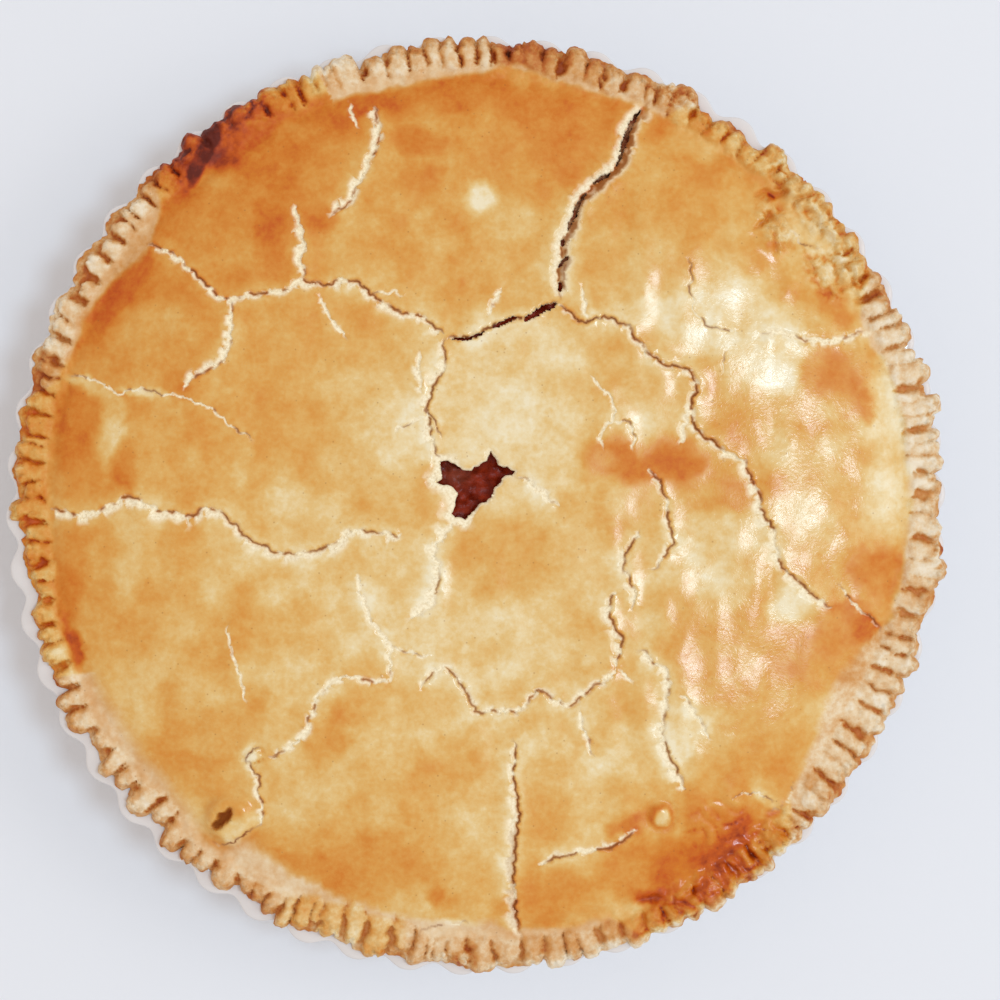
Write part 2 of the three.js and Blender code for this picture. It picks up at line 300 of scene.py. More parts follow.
# node tree with named inputs that gives back a geometry
def nodeTree(name, inputs):
    tree = bpy.data.node_groups.new(name, "GeometryNodeTree")
    tree.interface.new_socket("Geometry", in_out="OUTPUT", socket_type="NodeSocketGeometry")
    for label, kind in inputs:
        tree.interface.new_socket(label, in_out="INPUT", socket_type="NodeSocket" + kind)
    return tree, node(tree, "NodeGroupInput").outputs


def endNodes(tree, geometry, material):
    real = node(tree, "GeometryNodeRealizeInstances", {"Geometry": geometry})
    coated = node(tree, "GeometryNodeSetMaterial", {"Geometry": real.outputs[0], "Material": material})
    node(tree, "NodeGroupOutput", {0: coated.outputs[0]})


# runs a node tree once and keeps the plain mesh
def runNodes(name, tree, values):
    piece = bpy.data.objects.new(name, bpy.data.meshes.new(name + "Start"))
    bpy.context.scene.collection.objects.link(piece)
    modifier = piece.modifiers.new("nodes", "NODES")
    modifier.node_group = tree
    for socket in tree.interface.items_tree:
        if socket.in_out == "INPUT":
            modifier[socket.identifier] = values[socket.name]
    graph = bpy.context.evaluated_depsgraph_get()
    ready = piece.evaluated_get(graph)
    made = bpy.data.meshes.new_from_object(ready, preserve_all_data_layers=True, depsgraph=graph)
    made.name = name
    piece.modifiers.remove(modifier)
    piece.data = made
    made.calc_loop_triangles()
    print(name, "triangles:", len(made.loop_triangles))
    return piece


# pie: sizes shared by the pastry, the filling and the dish
pie = {
    "pastryBase": 42.3,
    "lidRadius": 127.0,
    "lidThickness": 4.2,
    "lift": 7.5,  # height of the dome
    "flatness": 5,
    "flutes": 54,
    "fluteTurn": 1.5,  # degrees
    "bumps": [  # x, y, rise, spread
        (0, 6, -1.4, 24), (-80, 48, 1.4, 26), (94, -4, 1.5, 22), (62, 88, 1.2, 24), (-28, -86, 1, 26),
        (86.8, 78.2, 1.4, 2.2), (90.8, 77.8, 1.4, 2.2), (85, 88, 1.2, 3.5), (103, 88, 1.4, 4),
        (112, 76, 1.4, 4), (99, -96, 1, 5), (108, -82, 1, 5), (-67, 121, 0.8, 5), (60, 124, 1, 4),
        (87, 107, 1.2, 4),
    ],
}


def dome(radius):
    return pie["lift"] * (1 - np.minimum(radius / pie["lidRadius"], 1) ** pie["flatness"])


# cracks: torn lines in the lid, the open places in them, and the steam hole
cracks = {
    "swing": 0.27,  # how far the lines wander
    "seed": 40,
    "slope": 0.26,  # depth for each millimetre of width
    "puff": 0.16,  # rise of the dough beside a crack
    "toast": 0.26,  # browning of its edges
    "halo": 0.06,  # paler dough beside it
    "ventMiddle": (0, 5.5),
    # the dark line of each crack is painted shade in its gap, over browned dough
    "lines": [  # width, darkness, floury width to the left and right, bends
        ((3.1, 3.6), 1, 3.0, 3.4, [(25.3, 61.5), (24.8, 66), (25, 71), (26, 78), (28.5, 85), (31, 91),
            (35, 95.5), (41, 99.5), (43.5, 105), (45, 110), (47.5, 115.5), (52, 121.5)]),
        (1.7, 1, 0.6, 0.9, [(-8, 49.3), (-3, 49.3), (1, 50.5), (4.5, 52.7), (10, 55), (12.5, 55.7),
            (15, 54.7), (18, 56.7), (21, 59.3), (24.5, 60)]),
        ((0.9, 1.7), 0.85, 0.5, 1.9, [(-98, 78), (-93, 76.5), (-87.5, 73), (-84, 69), (-79, 64.5),
            (-74.5, 61.2), (-69, 61.7), (-62, 62.8), (-56, 63.7), (-52, 67.5), (-48, 66), (-43.5, 64.5),
            (-39.5, 67.2), (-35, 66), (-31, 62), (-26, 59.5), (-21.5, 57), (-17.5, 56.8), (-13, 53.5),
            (-9.5, 50.5)]),
        (0.4, 0.4, 0.3, 0.3, [(-31, 62), (-27.5, 63.3), (-24, 63.8), (-20.5, 62)]),
        (2.2, 0.5, 0.3, 2.6, [(-52.8, 89), (-52.6, 86), (-51.4, 83.3), (-51, 78), (-51.4, 73),
            (-51, 67.5)]),
        (1.6, 0.5, 0.4, 1.9, [(-72, 60.5), (-72.3, 55), (-72.8, 48), (-74, 43), (-80, 39.7),
            (-84, 37.5), (-86.5, 34.5)]),
        (2.4, 0.5, 1, 2.1, [(-30.5, 119), (-29.5, 115.5), (-28, 112), (-29, 108), (-31.5, 103),
            (-33.5, 98), (-36.3, 93), (-36.8, 90.5), (-40, 88.5), (-43, 86)]),
        (0.8, 0.2, 0.4, 0.5, [(-38, 121), (-37, 116), (-34.7, 112)]),
        (0.9, 0.3, 0.4, 0.8, [(-46, 62), (-43.5, 56), (-38, 49.5)]),
        (0.5, 0.5, 0.08, 0.3, [(-122, 39), (-116, 38.5), (-111, 36), (-107.5, 33.5), (-99, 34.4),
            (-92, 33), (-86, 32), (-80, 29.5), (-73, 24.5), (-66, 19.5)]),
        (1.8, 0.7, 0.5, 2.5, [(-127, -1), (-118, -3.3), (-111, -1.2), (-106.5, 1.2), (-104, 3),
            (-100, 2), (-95.5, -1.5), (-89, -2), (-83.5, -3.2), (-79.5, -0.7), (-75, -2.7), (-71.5, -5),
            (-69, -8.5), (-64, -11.7), (-58.5, -13.7), (-53, -14.3), (-46, -13.2), (-40.5, -10.7),
            (-37, -6.7), (-32.5, -8), (-27, -8.3), (-22, -8.5)]),
        (1.6, 0.75, 2.2, 0.3, [(-10.5, 14.5), (-13, 19.5), (-13.8, 25), (-14, 31), (-12.3, 35.5),
            (-9.5, 39.5), (-8.7, 43), (-9.3, 49)]),
        (0.9, 0.4, 0.4, 1.3, [(-16.5, 46), (-16.8, 40), (-15.5, 33)]),
        (0.6, 0.85, 0.1, 0.3, [(-14.5, 30.5), (-13.2, 26), (-9.8, 20.4)]),
        (0.7, 0.2, 0.5, 0.6, [(-15.5, 25.5), (-20, 24), (-24, 21.5)]),
        (1.6, 0.22, 0.6, 2.4, [(-6.5, -5), (-9.5, -8.5), (-12.3, -14), (-10.5, -18.5), (-11, -23),
            (-13.3, -30.2), (-15.5, -32), (-19.5, -33.5)]),
        (1.2, 0.3, 1, 1.2, [(12.5, 8), (16.5, 7.5), (18.5, 5), (22, 1.5), (25, -0.5)]),
        (0.7, 0.35, 0.25, 0.5, [(34, 38.7), (36.5, 35.5), (40, 32), (42, 27), (40.5, 24.5), (37.5, 22),
            (36.4, 19), (38, 16.5)]),
        (0.7, 0.4, 0.3, 0.6, [(40.5, 24.5), (43.5, 25.6), (46.3, 23.8), (47.8, 20.5), (46.5, 16)]),
        ((1.1, 2.45), 0.95, 0.7, 1.5, [(24.5, 60), (28, 56.3), (32.5, 54), (37, 56.5), (43, 54.7),
            (47, 51), (50, 45.8), (55, 42.3), (63, 40.4), (65.5, 37.5), (66.3, 34.5), (64.3, 31),
            (64, 25.5), (67, 21), (71.5, 17.7), (75, 14.7), (80.3, 13.7)]),
        (1.0, 0, 0.9, 0.9, [(63, 31), (62.6, 24), (61, 20.5), (60, 18)]),
        (1.8, 0.8, 0.5, 2.3, [(80.3, 13.7), (80.7, 9), (83, 4.7), (85, 1.5), (84, -1.5), (87, -5.5),
            (88.8, -10), (89.5, -14.5), (90.3, -18.3), (94.5, -21.5), (98, -24.7), (101.5, -28),
            (106, -30)]),
        (0.7, 0.9, 0.25, 0.4, [(108.5, -24), (111, -28), (114, -31), (118, -33), (121, -38)]),
        (1.4, 0.7, 0.4, 1.3, [(51, 11), (54.5, 7), (56.7, 2), (57.3, -4), (58.5, -8.5), (59, -11.5),
            (56, -15), (52, -19)]),
        (1.6, 0.8, 0.4, 1.3, [(48.5, -7.5), (45.3, -13), (43.5, -19.5), (46.5, -22.5), (47.1, -26),
            (46.3, -31)]),
        (2.4, 0.8, 0.4, 2.1, [(42, -26), (39.3, -30), (40.4, -34.5), (43.2, -38.5), (43, -43),
            (41.6, -48)]),
        (1.6, 0.6, 0.7, 1.1, [(41.6, -48), (37, -53), (32, -55.2), (28.5, -59.5), (24.5, -59),
            (20.5, -55.3), (17, -54.5), (15.3, -58.7), (11.5, -62), (6.5, -60.5), (0, -62), (-2.5, -56),
            (-7, -49.5), (-10, -47.5), (-14, -50.5), (-16, -54.5)]),
        (1.0, 0.4, 0.3, 1, [(30.8, -60.5), (32.4, -66), (34.8, -73.7)]),
        (0.6, 0.5, 0.2, 0.8, [(42, -48), (47, -53)]),
        (1.0, 0.3, 0.7, 0.9, [(-35, -20), (-34.3, -26), (-31.5, -32.5), (-29.5, -37), (-24.5, -41.5),
            (-25.2, -46), (-25.5, -52.5)]),
        (0.7, 0.3, 0.5, 0.5, [(-24.5, -41.5), (-20.5, -43.7), (-13, -44.3)]),
        (1.2, 0.5, 1, 1, [(-25.5, -52.5), (-30, -52.4), (-36.5, -50), (-42, -52.3), (-47, -56.5),
            (-48.5, -62.5), (-51.5, -69.3), (-56.5, -72.6), (-61.5, -74.5)]),
        (0.9, 0.6, 0.2, 1.2, [(-68, -75), (-66.5, -78), (-62.8, -81.2), (-65, -85), (-62.5, -91),
            (-64.5, -95.5)]),
        (0.3, 1, 0, 0, [(-65.7, -96), (-68.3, -97.5), (-71.7, -100.6), (-75.5, -101.5),
            (-78.5, -100.3)]),
        (0.6, 1, 0.15, 0.15, [(-67.9, -76.5), (-67.5, -74), (-66, -72.4), (-63.7, -71.9)]),
        (0.4, 0.8, 0.05, 0.05, [(-18.2, -129.7), (-16.5, -126.9), (-14.1, -125.7), (-7.6, -125.1),
            (-2.2, -124.6)]),
        (0.5, 0.9, 0.05, 0.05, [(87.6, -91.3), (92.2, -90.6), (94.7, -86.8), (94.7, -82.3)]),
        ((0.9, 2.64), 0.95, 0.4, 2.9, [(11.5, -70), (12, -75), (11.3, -81), (12.8, -86.5), (12.5, -91),
            (13.4, -94.5), (11.9, -98), (11.3, -106), (11.8, -113), (11.3, -121), (12.6, -125),
            (14, -129)]),
        (1.4, 0.7, 1.4, 0.4, [(18.5, -107), (24, -104.8), (31, -103.3), (39, -102), (43.5, -99.8),
            (48, -96.5)]),
        (1.6, 0.6, 0.4, 2.4, [(49, -43), (53, -46.3), (58, -50.5), (57.3, -56), (56, -63), (55.8, -70),
            (58.3, -76.5), (61, -79.3), (62.4, -84.5)]),
        (1.6, 0.5, 0.4, 1.8, [(60.5, -56), (63.8, -58.5), (66.8, -64), (69.3, -69.5)]),
        (0.5, 0.8, 0.1, 0.15, [(76.5, -87), (80.8, -84.7), (84.5, -86.2), (89, -88.5)]),
        (0.4, 0.6, 0.1, 0.1, [(63, 73), (64, 66), (63.6, 61), (65, 56.5), (68, 53.5), (73, 52.5),
            (78, 50.5)]),
        (0.4, 0.5, 0.1, 0.1, [(74, 45.5), (73.7, 42), (73, 38.5)]),
        (1.4, 0.4, 1, 1.3, [(84, 50), (88, 51.5), (93, 50.5), (99, 49), (106, 49), (112, 50.7),
            (119, 52.5)]),
        (0.5, 0.3, 0.3, 0.4, [(-73, -35), (-73, -39.5), (-71, -47), (-67.5, -59)]),
        (0.4, 0.8, 0.05, 0.05, [(93, 82.5), (95.9, 80.4), (98, 77.1), (100.9, 77.5), (103.8, 76.4)]),
        (0.9, 0.3, 0.4, 1, [(31.5, 65), (32, 60), (33.5, 55)]),
        (1.0, 0.1, 0.8, 0.8, [(3.5, 56), (5, 60), (8, 64)]),
    ],
    "slits": [  # open places in the two widest cracks: width, bends
        (1.5, [(-7.5, 49.2), (-3, 49.3), (1, 50.6), (3, 51.8)]),
        (1.9, [(4.8, 52.6), (8, 54.2), (12.4, 55.8)]),
        (2.7, [(14.5, 54.3), (17, 56), (20, 58.2), (22, 59.4), (24.4, 59.8)]),
        (1.8, [(25, 63), (25.2, 66.5)]),
        (1.6, [(24.6, 70.2), (26, 72.2), (27.8, 74)]),
        (1.8, [(25.7, 76.6), (26.3, 79.2)]),
        (1.8, [(27.2, 81.2), (29, 85.6), (30.8, 89.6), (33, 93)]),
        (1.8, [(34.8, 95.3), (37, 97), (40.3, 98.9)]),
        (2.2, [(41.7, 100.6), (43.5, 105), (45, 110), (47, 115), (49.5, 118.6)]),
    ],
    "vent": [  # outline of the steam hole
        (-10.7, 13.3), (-8.3, 13.6), (-6.2, 12.7), (-3.8, 10.8), (-1.4, 10.5), (1, 12.1), (3.4, 13.6),
        (4.6, 16.3), (6.1, 14.5), (7, 12.1), (9.4, 11.7), (12, 10.2), (10.9, 8.6), (7.9, 8), (7.9, 6.8),
        (5.8, 5), (4.9, 2), (3.4, 0.8), (1.3, 0.2), (-0.8, -2.2), (-2.9, -4.5), (-4.1, -3.9), (-6.2, -4),
        (-7.4, -2.5), (-6.2, 0.2), (-5.3, 3.5), (-6.8, 5.1), (-9.8, 5.9), (-12.3, 7.2), (-10.2, 8),
        (-10.4, 10.4),
    ],
}


# width of torn flaps: each starts wide and narrows along the crack
def flaps(along, seed):
    turn = along / 7 + 1.3 * noise(along, along * 0 + 3, 9, seed)
    return 0.3 + 1.25 * (1 - turn % 1) + 0.25 * noise(along, along * 0 + 5, 1.7, seed + 50)


def softened(values, width):
    padded = np.pad(values, width // 2, mode="edge")
    return np.convolve(padded, np.ones(width) / width, "valid")


def crackLines():
    found = []
    for i, (width, dark, left, right, bends) in enumerate(cracks["lines"]):
        path, along = tornPath(bends, 0.2, cracks["swing"], cracks["seed"] + i)
        ends = width if isinstance(width, tuple) else (width, width)
        gape = np.interp(along, [0, along[-1] * 0.45, along[-1] * 0.8], [ends[0], ends[1], ends[1]])
        taper = np.minimum(1, np.minimum(along, along[-1] - along) / 3.5) ** 0.7
        gape = gape * taper
        ragged = 0.35 if ends[0] > 2.5 else 1
        uneven = [1 - ragged + ragged * flaps(along, first + i) for first in (300, 400)]
        dashes = dark * 1.35 - 0.6 + 0.8 * noise(along, along * 0 + 9, 2.1, 500 + i)
        dashes = dashes + 0.7 * noise(along, along * 0 + 2, 8, 540 + i)
        ahead = np.gradient(np.column_stack([softened(path[:, 0], 9), softened(path[:, 1], 9)]), axis=0)
        found.append({
            "path": path,
            "along": along,
            "gape": gape,
            "dark": smooth(dashes, 0, 0.5) * (0.55 + 0.42 * dark) * (0.3 + 0.7 * taper),
            "left": 0.85 * left * uneven[0] * gape / gape.max() + 0.12,
            "right": 0.85 * right * uneven[1] * gape / gape.max() + 0.12,
            "wide": 1 if left > right else -1,
            "tangent": ahead / np.maximum(np.hypot(*ahead.T), 1e-9)[:, None],
        })
    return found


# fine points along a crack, closer together near its line
def crackPoints(line):
    found = []
    normal = np.column_stack([-line["tangent"][:, 1], line["tangent"][:, 0]])
    for k in range(0, len(line["path"]), 3):
        spot = line["path"][k]
        offsets = [0, 0.25, -0.25, 0.55, -0.55]
        for sign, edge in ((1, line["left"][k]), (-1, line["right"][k])):
            offsets += [sign * v for v in np.arange(1.0, edge, 0.55)]
            offsets += [sign * max(edge + 0.1, 0.85), sign * (max(edge, 0.75) + 0.75)]
        found += [spot + normal[k] * v for v in offsets]
    return np.array(found)


# how far the lid falls and rises along the cracks, with their flour, browning, and dark lines that are
# painted shade in the gaps over browned dough
def crackFields(x, y, lines):
    fall, flour, gapShadeAndBrown, raised, halo, toast = np.zeros((6, len(x)))
    for line in lines:
        path = line["path"]
        low = path.min(0) - 6
        high = path.max(0) + 6
        near = np.nonzero((x > low[0]) & (x < high[0]) & (y > low[1]) & (y < high[1]))[0]
        for part in np.array_split(near, max(len(near) * len(path) // 3000000, 1)):
            dx = x[part, None] - path[None, :, 0]
            dy = y[part, None] - path[None, :, 1]
            k = np.argmin(dx * dx + dy * dy, axis=1)
            pick = np.arange(len(part))
            dx = dx[pick, k]
            dy = dy[pick, k]
            away = np.hypot(dx, dy) + 0.12 * noise(x[part], y[part], 0.9, 77)
            side = line["tangent"][k, 0] * dy - line["tangent"][k, 1] * dx
            edge = np.where(side > 0, line["left"][k], line["right"][k])
            other = np.where(side > 0, line["right"][k], line["left"][k])
            share = away / np.maximum(edge, 0.2)
            beyond = np.maximum(away - edge, 0)
            gape = line["gape"][k]
            dark = line["dark"][k]
            # the steep narrow side loses its flour and the dark line spreads over it: painted shade on that
            # wall
            steepWallShade = np.where((edge < other) & (edge < 0.9), 1.0, 0.0)
            slope = (0.1 + cracks["slope"] * gape) * fade(share, 0, 1) ** 1.2
            # the dark line itself: painted shade in the gap, over browned dough
            gapShadeLine = dark * fade(away, 0.12, 0.3 + 0.16 * steepWallShade * np.minimum(gape, 1.5))
            inner = smooth(gape, 2.5, 2.9) * fade(share, 0.5, 0.85) * (side * line["wide"] > 0)
            inner = inner * np.clip(0.85 + 0.5 * noise(x[part], y[part], 1.6, 78), 0, 1)
            dust = fade(share, 0.5, 1.25) * smooth(gape, 0, 0.5) * (1 - 0.75 * steepWallShade * dark)
            dust = dust * (1 - inner) * (1 - 0.85 * dark * fade(away, 0.2, 0.7))
            puff = cracks["puff"] * gape * np.where(edge < other, 1, 0.35) * np.exp(-(beyond / 2.6) ** 2)
            pale = cracks["halo"] * np.minimum(gape, 1.5) * np.exp(-(beyond / 2.2) ** 2)
            raiseTo(fall, part, slope + 0.1 * dark * fade(away, 0.1, 0.35))
            raiseTo(toast, part, cracks["toast"] * dark * np.minimum(gape, 1) * fade(away, 0.3, 1.2))
            raiseTo(flour, part, dust)
            raiseTo(gapShadeAndBrown, part, np.maximum(gapShadeLine, 0.9 * inner))
            raiseTo(raised, part, puff * smooth(share, 0.5, 1.3))
            raiseTo(halo, part, pale)
    return fall, flour, gapShadeAndBrown, raised, toast - halo


# outline of a place where a crack is open
def slitLoop(width, bends, seed):
    path, along = tornPath(bends, 0.45, 0.1, seed)
    tangent = np.gradient(path, axis=0)
    normal = np.column_stack([-tangent[:, 1], tangent[:, 0]]) / np.hypot(*tangent.T)[:, None]
    share = along / along[-1]
    half = width / 2 * np.sqrt(np.maximum(4 * share * (1 - share), 0)) ** 0.7
    rng = np.random.default_rng(seed)
    left = path + normal * (half * rng.uniform(0.6, 1.25, len(half)))[:, None]
    right = path - normal * (half * rng.uniform(0.6, 1.25, len(half)))[:, None]
    return np.concatenate([left[:-1], right[:0:-1]])


# border: fork ridges, outline and browning by angle round the pie
border = {
    "droop": 1.8,  # fall of the outer edge
    "burnt": (-80.9, 105.8, 15.5, 3.9, 63.9, 1.0),  # x, y, half sizes, turn, how brown
    "gap": 0.85,  # degrees between ridges
    "lumpy": 0.3,
    "inner": 121,  # radius where ridges can start
    "middle": 133,  # radius at which their width is measured
    "outer": 138,
    "flutedEdge": (129, 133, 176, 181),  # angles where the edge follows the flutes
    "softWash": (200, 206, 236, 244),  # where the egg wash ends softly
    "golden": (243, 246, 259, 262),  # where the ridges have egg wash
    "brownEdge": (128, 134, 196, 204),
    "flaky": (312, 318, 343, 350),
    "ridges": [  # angle, width in degrees, radius of the tip
        (2.7, 2, 139.6), (5.2, 2.2, 141.2), (7.3, 1.3, 140.4), (8.6, 1.4, 140.8), (10.8, 1.6, 139.4),
        (12.4, 2.4, 142.9), (13.9, 2, 138.6), (16.9, 2.3, 142.3), (19.2, 2.1, 139.6), (22.4, 2.3, 140.8),
        (24.2, 1.2, 140), (26.3, 2, 138.8), (29.2, 2.2, 140), (31.7, 1.8, 138), (33.2, 1.2, 138.4),
        (35.5, 2.6, 139.4), (38.1, 2, 139.2), (40.3, 1.8, 139.4), (42, 1.6, 139.8), (43.8, 1.7, 139.6),
        (45.3, 1.4, 138.6), (47.3, 1.5, 139.2), (49.7, 2.5, 141.2), (52.1, 2.3, 136.4), (54.6, 2, 137.5),
        (57.2, 2.6, 137.8), (59.8, 1.8, 137.5), (62.6, 2.8, 141.2), (65, 1.7, 139.4), (66.8, 1, 135.6),
        (69, 2.3, 138.8), (72.4, 2.2, 138.8), (74.8, 2, 138.8), (77.3, 2.3, 140.4), (80.5, 2.1, 139.2),
        (82.8, 2.3, 140.8), (84.6, 1.6, 139), (86.6, 1.6, 138.6), (88.8, 1.3, 140.8), (90.8, 1.9, 140.4),
        (93.4, 2, 140.4), (95.5, 1.4, 140.8), (97.5, 1.9, 139.6), (100.2, 2.3, 140), (103, 2.2, 138),
        (106.7, 2.3, 140.8), (108.8, 1.6, 138.8), (110, 1.3, 140.2), (111.6, 2.1, 139.2),
        (114.3, 1, 140), (116.2, 2.2, 140.4), (119, 2.2, 139), (121.5, 2.8, 140), (124.4, 2.4, 139.2),
        (127.8, 1.8, 141.2), (130.2, 2.4, 137.4), (133.1, 2, 138.8), (135.7, 2.1, 138),
        (138.2, 2.1, 137.2), (140.1, 1.1, 138.4), (142.2, 2.1, 137), (144.8, 2, 136.6),
        (147.6, 2.1, 138.2), (151.2, 2.3, 135.4), (154.2, 2.3, 139), (156.8, 2.1, 137.6),
        (159.6, 2.2, 138.8), (162, 1.7, 137.6), (164, 1.8, 135.4), (166.9, 1.9, 138),
        (169.5, 2.1, 136.8), (171.4, 0.8, 137), (173, 2.1, 139.4), (175.7, 2.4, 138.4),
        (178.2, 1.9, 135.4), (180.4, 1.9, 140.4), (181.3, 1.1, 134.4), (183.8, 1.9, 135.4),
        (186.2, 1.9, 135.8), (188.8, 1.9, 135), (191, 1.9, 133.8), (194.1, 2.1, 137), (196.7, 1.9, 137),
        (199.3, 2.1, 138), (202.6, 2.1, 136.6), (205.7, 2.1, 139), (208.4, 2.3, 139.4),
        (212.6, 2.3, 135.2), (215.3, 2.1, 139), (217.9, 1.9, 136.8), (221.4, 3, 138.8),
        (224.6, 2.1, 135.8), (227.5, 2.2, 139), (230.5, 1.7, 138.6), (232.8, 2.1, 137.6),
        (235.7, 2.5, 138.4), (239, 1.9, 136), (240.9, 1.5, 136.4), (242.7, 1.9, 138.4),
        (244.8, 1.1, 139.2), (247, 2.3, 138), (248.8, 1, 134), (250.7, 2.3, 137.6), (253.7, 2.2, 137),
        (257.1, 2.6, 139.2), (260.1, 2.2, 135.2), (262.5, 1.9, 139.2), (264, 0.8, 137),
        (265.4, 1.6, 137.2), (267.5, 2.3, 138), (270.4, 2.6, 140), (274.2, 2.3, 138),
        (277.6, 2.4, 139.2), (280.3, 2, 140.8), (282.6, 1.5, 139.6), (284.4, 2.2, 140.4),
        (287.6, 2.2, 139.2), (290.8, 2.3, 141.2), (293.3, 2.2, 140), (295.7, 1.7, 140),
        (298.2, 2.3, 140.4), (301.2, 2.3, 141.6), (303.8, 2.2, 140.8), (306.8, 2.6, 140.4),
        (309.3, 1.6, 141), (311.2, 1.4, 139.2), (312.6, 1.2, 139), (314, 1.4, 138.4),
        (315.7, 1.6, 139.6), (318.3, 2.6, 140), (320.5, 1.9, 137.6), (323.8, 2.2, 138.8),
        (325.6, 1.4, 138.8), (327.8, 2, 137.6), (331.2, 2.8, 139.6), (334.2, 2.5, 139.6),
        (337, 2.4, 139.6), (339.6, 2, 141.2), (341.9, 1.5, 138.4), (344.3, 2.6, 138),
        (347.4, 2.4, 139.6), (350.2, 1.9, 140), (352.1, 2.6, 142.6), (354.1, 1.9, 139.6),
        (357.4, 2.4, 140.6), (359.7, 1.6, 138.4),
    ],
    "sheetEdge": [  # angle, radius of the rolled edge behind the ridges
        (0, 138), (50, 138), (53, 135.6), (60, 136.2), (64, 138), (100, 138.4), (104.5, 136.6),
        (108, 138.2), (125, 138.6), (131, 137), (133, 138.7), (165, 138.6), (177, 138.6), (181, 136),
        (190, 135.4), (198, 136.2), (204, 135.2), (235, 135.2), (245, 136), (250, 136.2), (262, 137),
        (280, 138.4), (300, 139.2), (318, 138.8), (335, 138.2), (346, 139), (354, 139.4), (360, 138),
    ],
    "slotStart": [  # angle, radius where the fork slots begin
        (0, 130), (20, 130), (24, 129), (28, 130), (33, 131), (36, 134), (47, 134), (50, 129.8),
        (60, 129.8), (67, 130.3), (80, 130), (84, 132.5), (87, 132), (89, 131), (109, 131), (112, 130.3),
        (118, 130.5), (121, 134), (131, 133), (133, 130.6), (150, 130.4), (165, 130), (180, 129),
        (186, 127.8), (192, 128.5), (196, 130), (220, 130.3), (223, 127), (226, 127.5), (228, 131.3),
        (240, 130.5), (244, 129.5), (248, 127), (254, 125.5), (260, 126.5), (264, 130), (272, 130),
        (280, 130.5), (290, 131.5), (300, 130.5), (314, 129.5), (320, 128.5), (330, 126.5), (340, 127),
        (346, 129.5), (360, 130),
    ],
    "slotDepth": [  # angle, depth
        (0, 1.3), (30, 1.5), (50, 2), (60, 1.8), (75, 1.9), (90, 2.3), (110, 2.3), (122, 1), (130, 1.2),
        (134, 2.2), (165, 2.1), (185, 1.6), (200, 2), (225, 1.8), (245, 1.8), (272, 1.8), (288, 1.4),
        (292, 0.8), (300, 1), (311, 1.2), (315, 1.4), (320, 1.4), (345, 1.4), (360, 1.3),
    ],
    "browning": [  # angle, ridges, slots
        (0, 0.1, 0.4), (20, 0.13, 0.4), (25, 0.13, 0.38), (28, 0.25, 0.52), (34, 0.24, 0.48),
        (45, 0.24, 0.48), (51, 0.3, 0.68), (58, 0.36, 0.72), (62, 0.32, 0.6), (67, 0.28, 0.6),
        (72, 0.34, 0.68), (80, 0.46, 0.74), (83, 0.54, 0.82), (86, 0.62, 0.9), (88, 0.25, 0.7),
        (92, 0.17, 0.74), (106, 0.18, 0.62), (110, 0.35, 0.6), (113, 0.56, 0.8), (118, 0.72, 0.9),
        (122, 0.9, 0.96), (127, 0.95, 1), (131, 0.86, 0.96), (134, 0.5, 0.78), (138, 0.2, 0.66),
        (150, 0.2, 0.55), (158, 0.22, 0.45), (163, 0.34, 0.62), (172, 0.44, 0.68), (182, 0.45, 0.7),
        (193, 0.36, 0.66), (200, 0.22, 0.58), (207, 0.22, 0.56), (212, 0.2, 0.54), (228, 0.2, 0.52),
        (236, 0.24, 0.56), (240, 0.34, 0.62), (244, 0.24, 0.48), (250, 0.29, 0.42), (258, 0.27, 0.42),
        (265, 0.2, 0.5), (268, 0.4, 0.62), (275, 0.26, 0.42), (287, 0.34, 0.48), (291, 0.48, 0.58),
        (296, 0.68, 0.72), (300, 0.66, 0.72), (307, 0.74, 0.78), (312, 0.55, 0.68), (316, 0.25, 0.54),
        (321, 0.32, 0.58), (325, 0.25, 0.54), (331, 0.13, 0.46), (338, 0.18, 0.48), (345, 0.2, 0.46),
        (356, 0.12, 0.42), (360, 0.1, 0.4),
    ],
    "bareBrown": [  # angle, bare dough inside the ridges
        (0, 0.11), (20, 0.14), (25, 0.2), (70, 0.25), (90, 0.22), (106, 0.24), (137, 0.28), (150, 0.3),
        (162, 0.34), (203, 0.21), (216, 0.25), (228, 0.27), (240, 0.16), (252, 0.2), (264, 0.14),
        (276, 0.28), (290, 0.34), (316, 0.26), (322, 0.17), (332, 0.17), (336, 0.32), (340, 0.28),
        (350, 0.34), (356, 0.16), (360, 0.11),
    ],
    "tips": [  # angle, how much browner the outer ends are
        (0, 0.11), (42, 0.15), (48, 0), (55, 0.02), (100, 0.2), (104, 0.14), (107, -0.32), (110, -0.32),
        (115, -0.1), (120, 0), (131, 0), (135, 0.14), (150, 0.04), (155, -0.28), (158, -0.26), (162, 0),
        (170, -0.04), (198, 0.04), (204, 0.2), (228, 0.16), (240, 0.1), (262, 0.1), (271, 0),
        (277, -0.22), (284, -0.2), (288, -0.45), (290, -0.5), (313, -0.42), (317, 0.11), (360, 0.11),
    ],
    "glazeEdge": [  # angle, radius where the egg wash ends
        (0, 130), (20, 130), (22, 126.5), (26, 127.5), (28, 131), (32, 140), (50, 140), (52, 136),
        (62, 136), (64, 129), (80, 129), (82, 131), (87, 131), (89, 129), (97, 127.8), (101, 127),
        (107, 127.6), (109.5, 128.4), (110, 138), (132, 140), (136, 132), (137, 129.6), (140, 125.5),
        (141, 124), (143, 124.2), (146.5, 126.7), (152, 128.5), (160, 129), (164, 131), (167, 139),
        (202, 139), (203.5, 125.4), (207, 124), (216, 124), (222, 123.2), (226, 124.5), (230, 127),
        (233, 127), (235.5, 120), (238, 122), (247, 122), (251, 122.7), (256, 123.7), (261, 124.5),
        (272, 124.5), (275, 127.5), (288, 129.5), (291, 138), (313, 137.5), (317, 128), (321.5, 125.2),
        (327, 122.3), (334, 119), (340, 123), (345, 129), (360, 130),
    ],
}
ridgeRandom = np.random.default_rng(8).uniform(-1, 1, (len(border["ridges"]), 4))


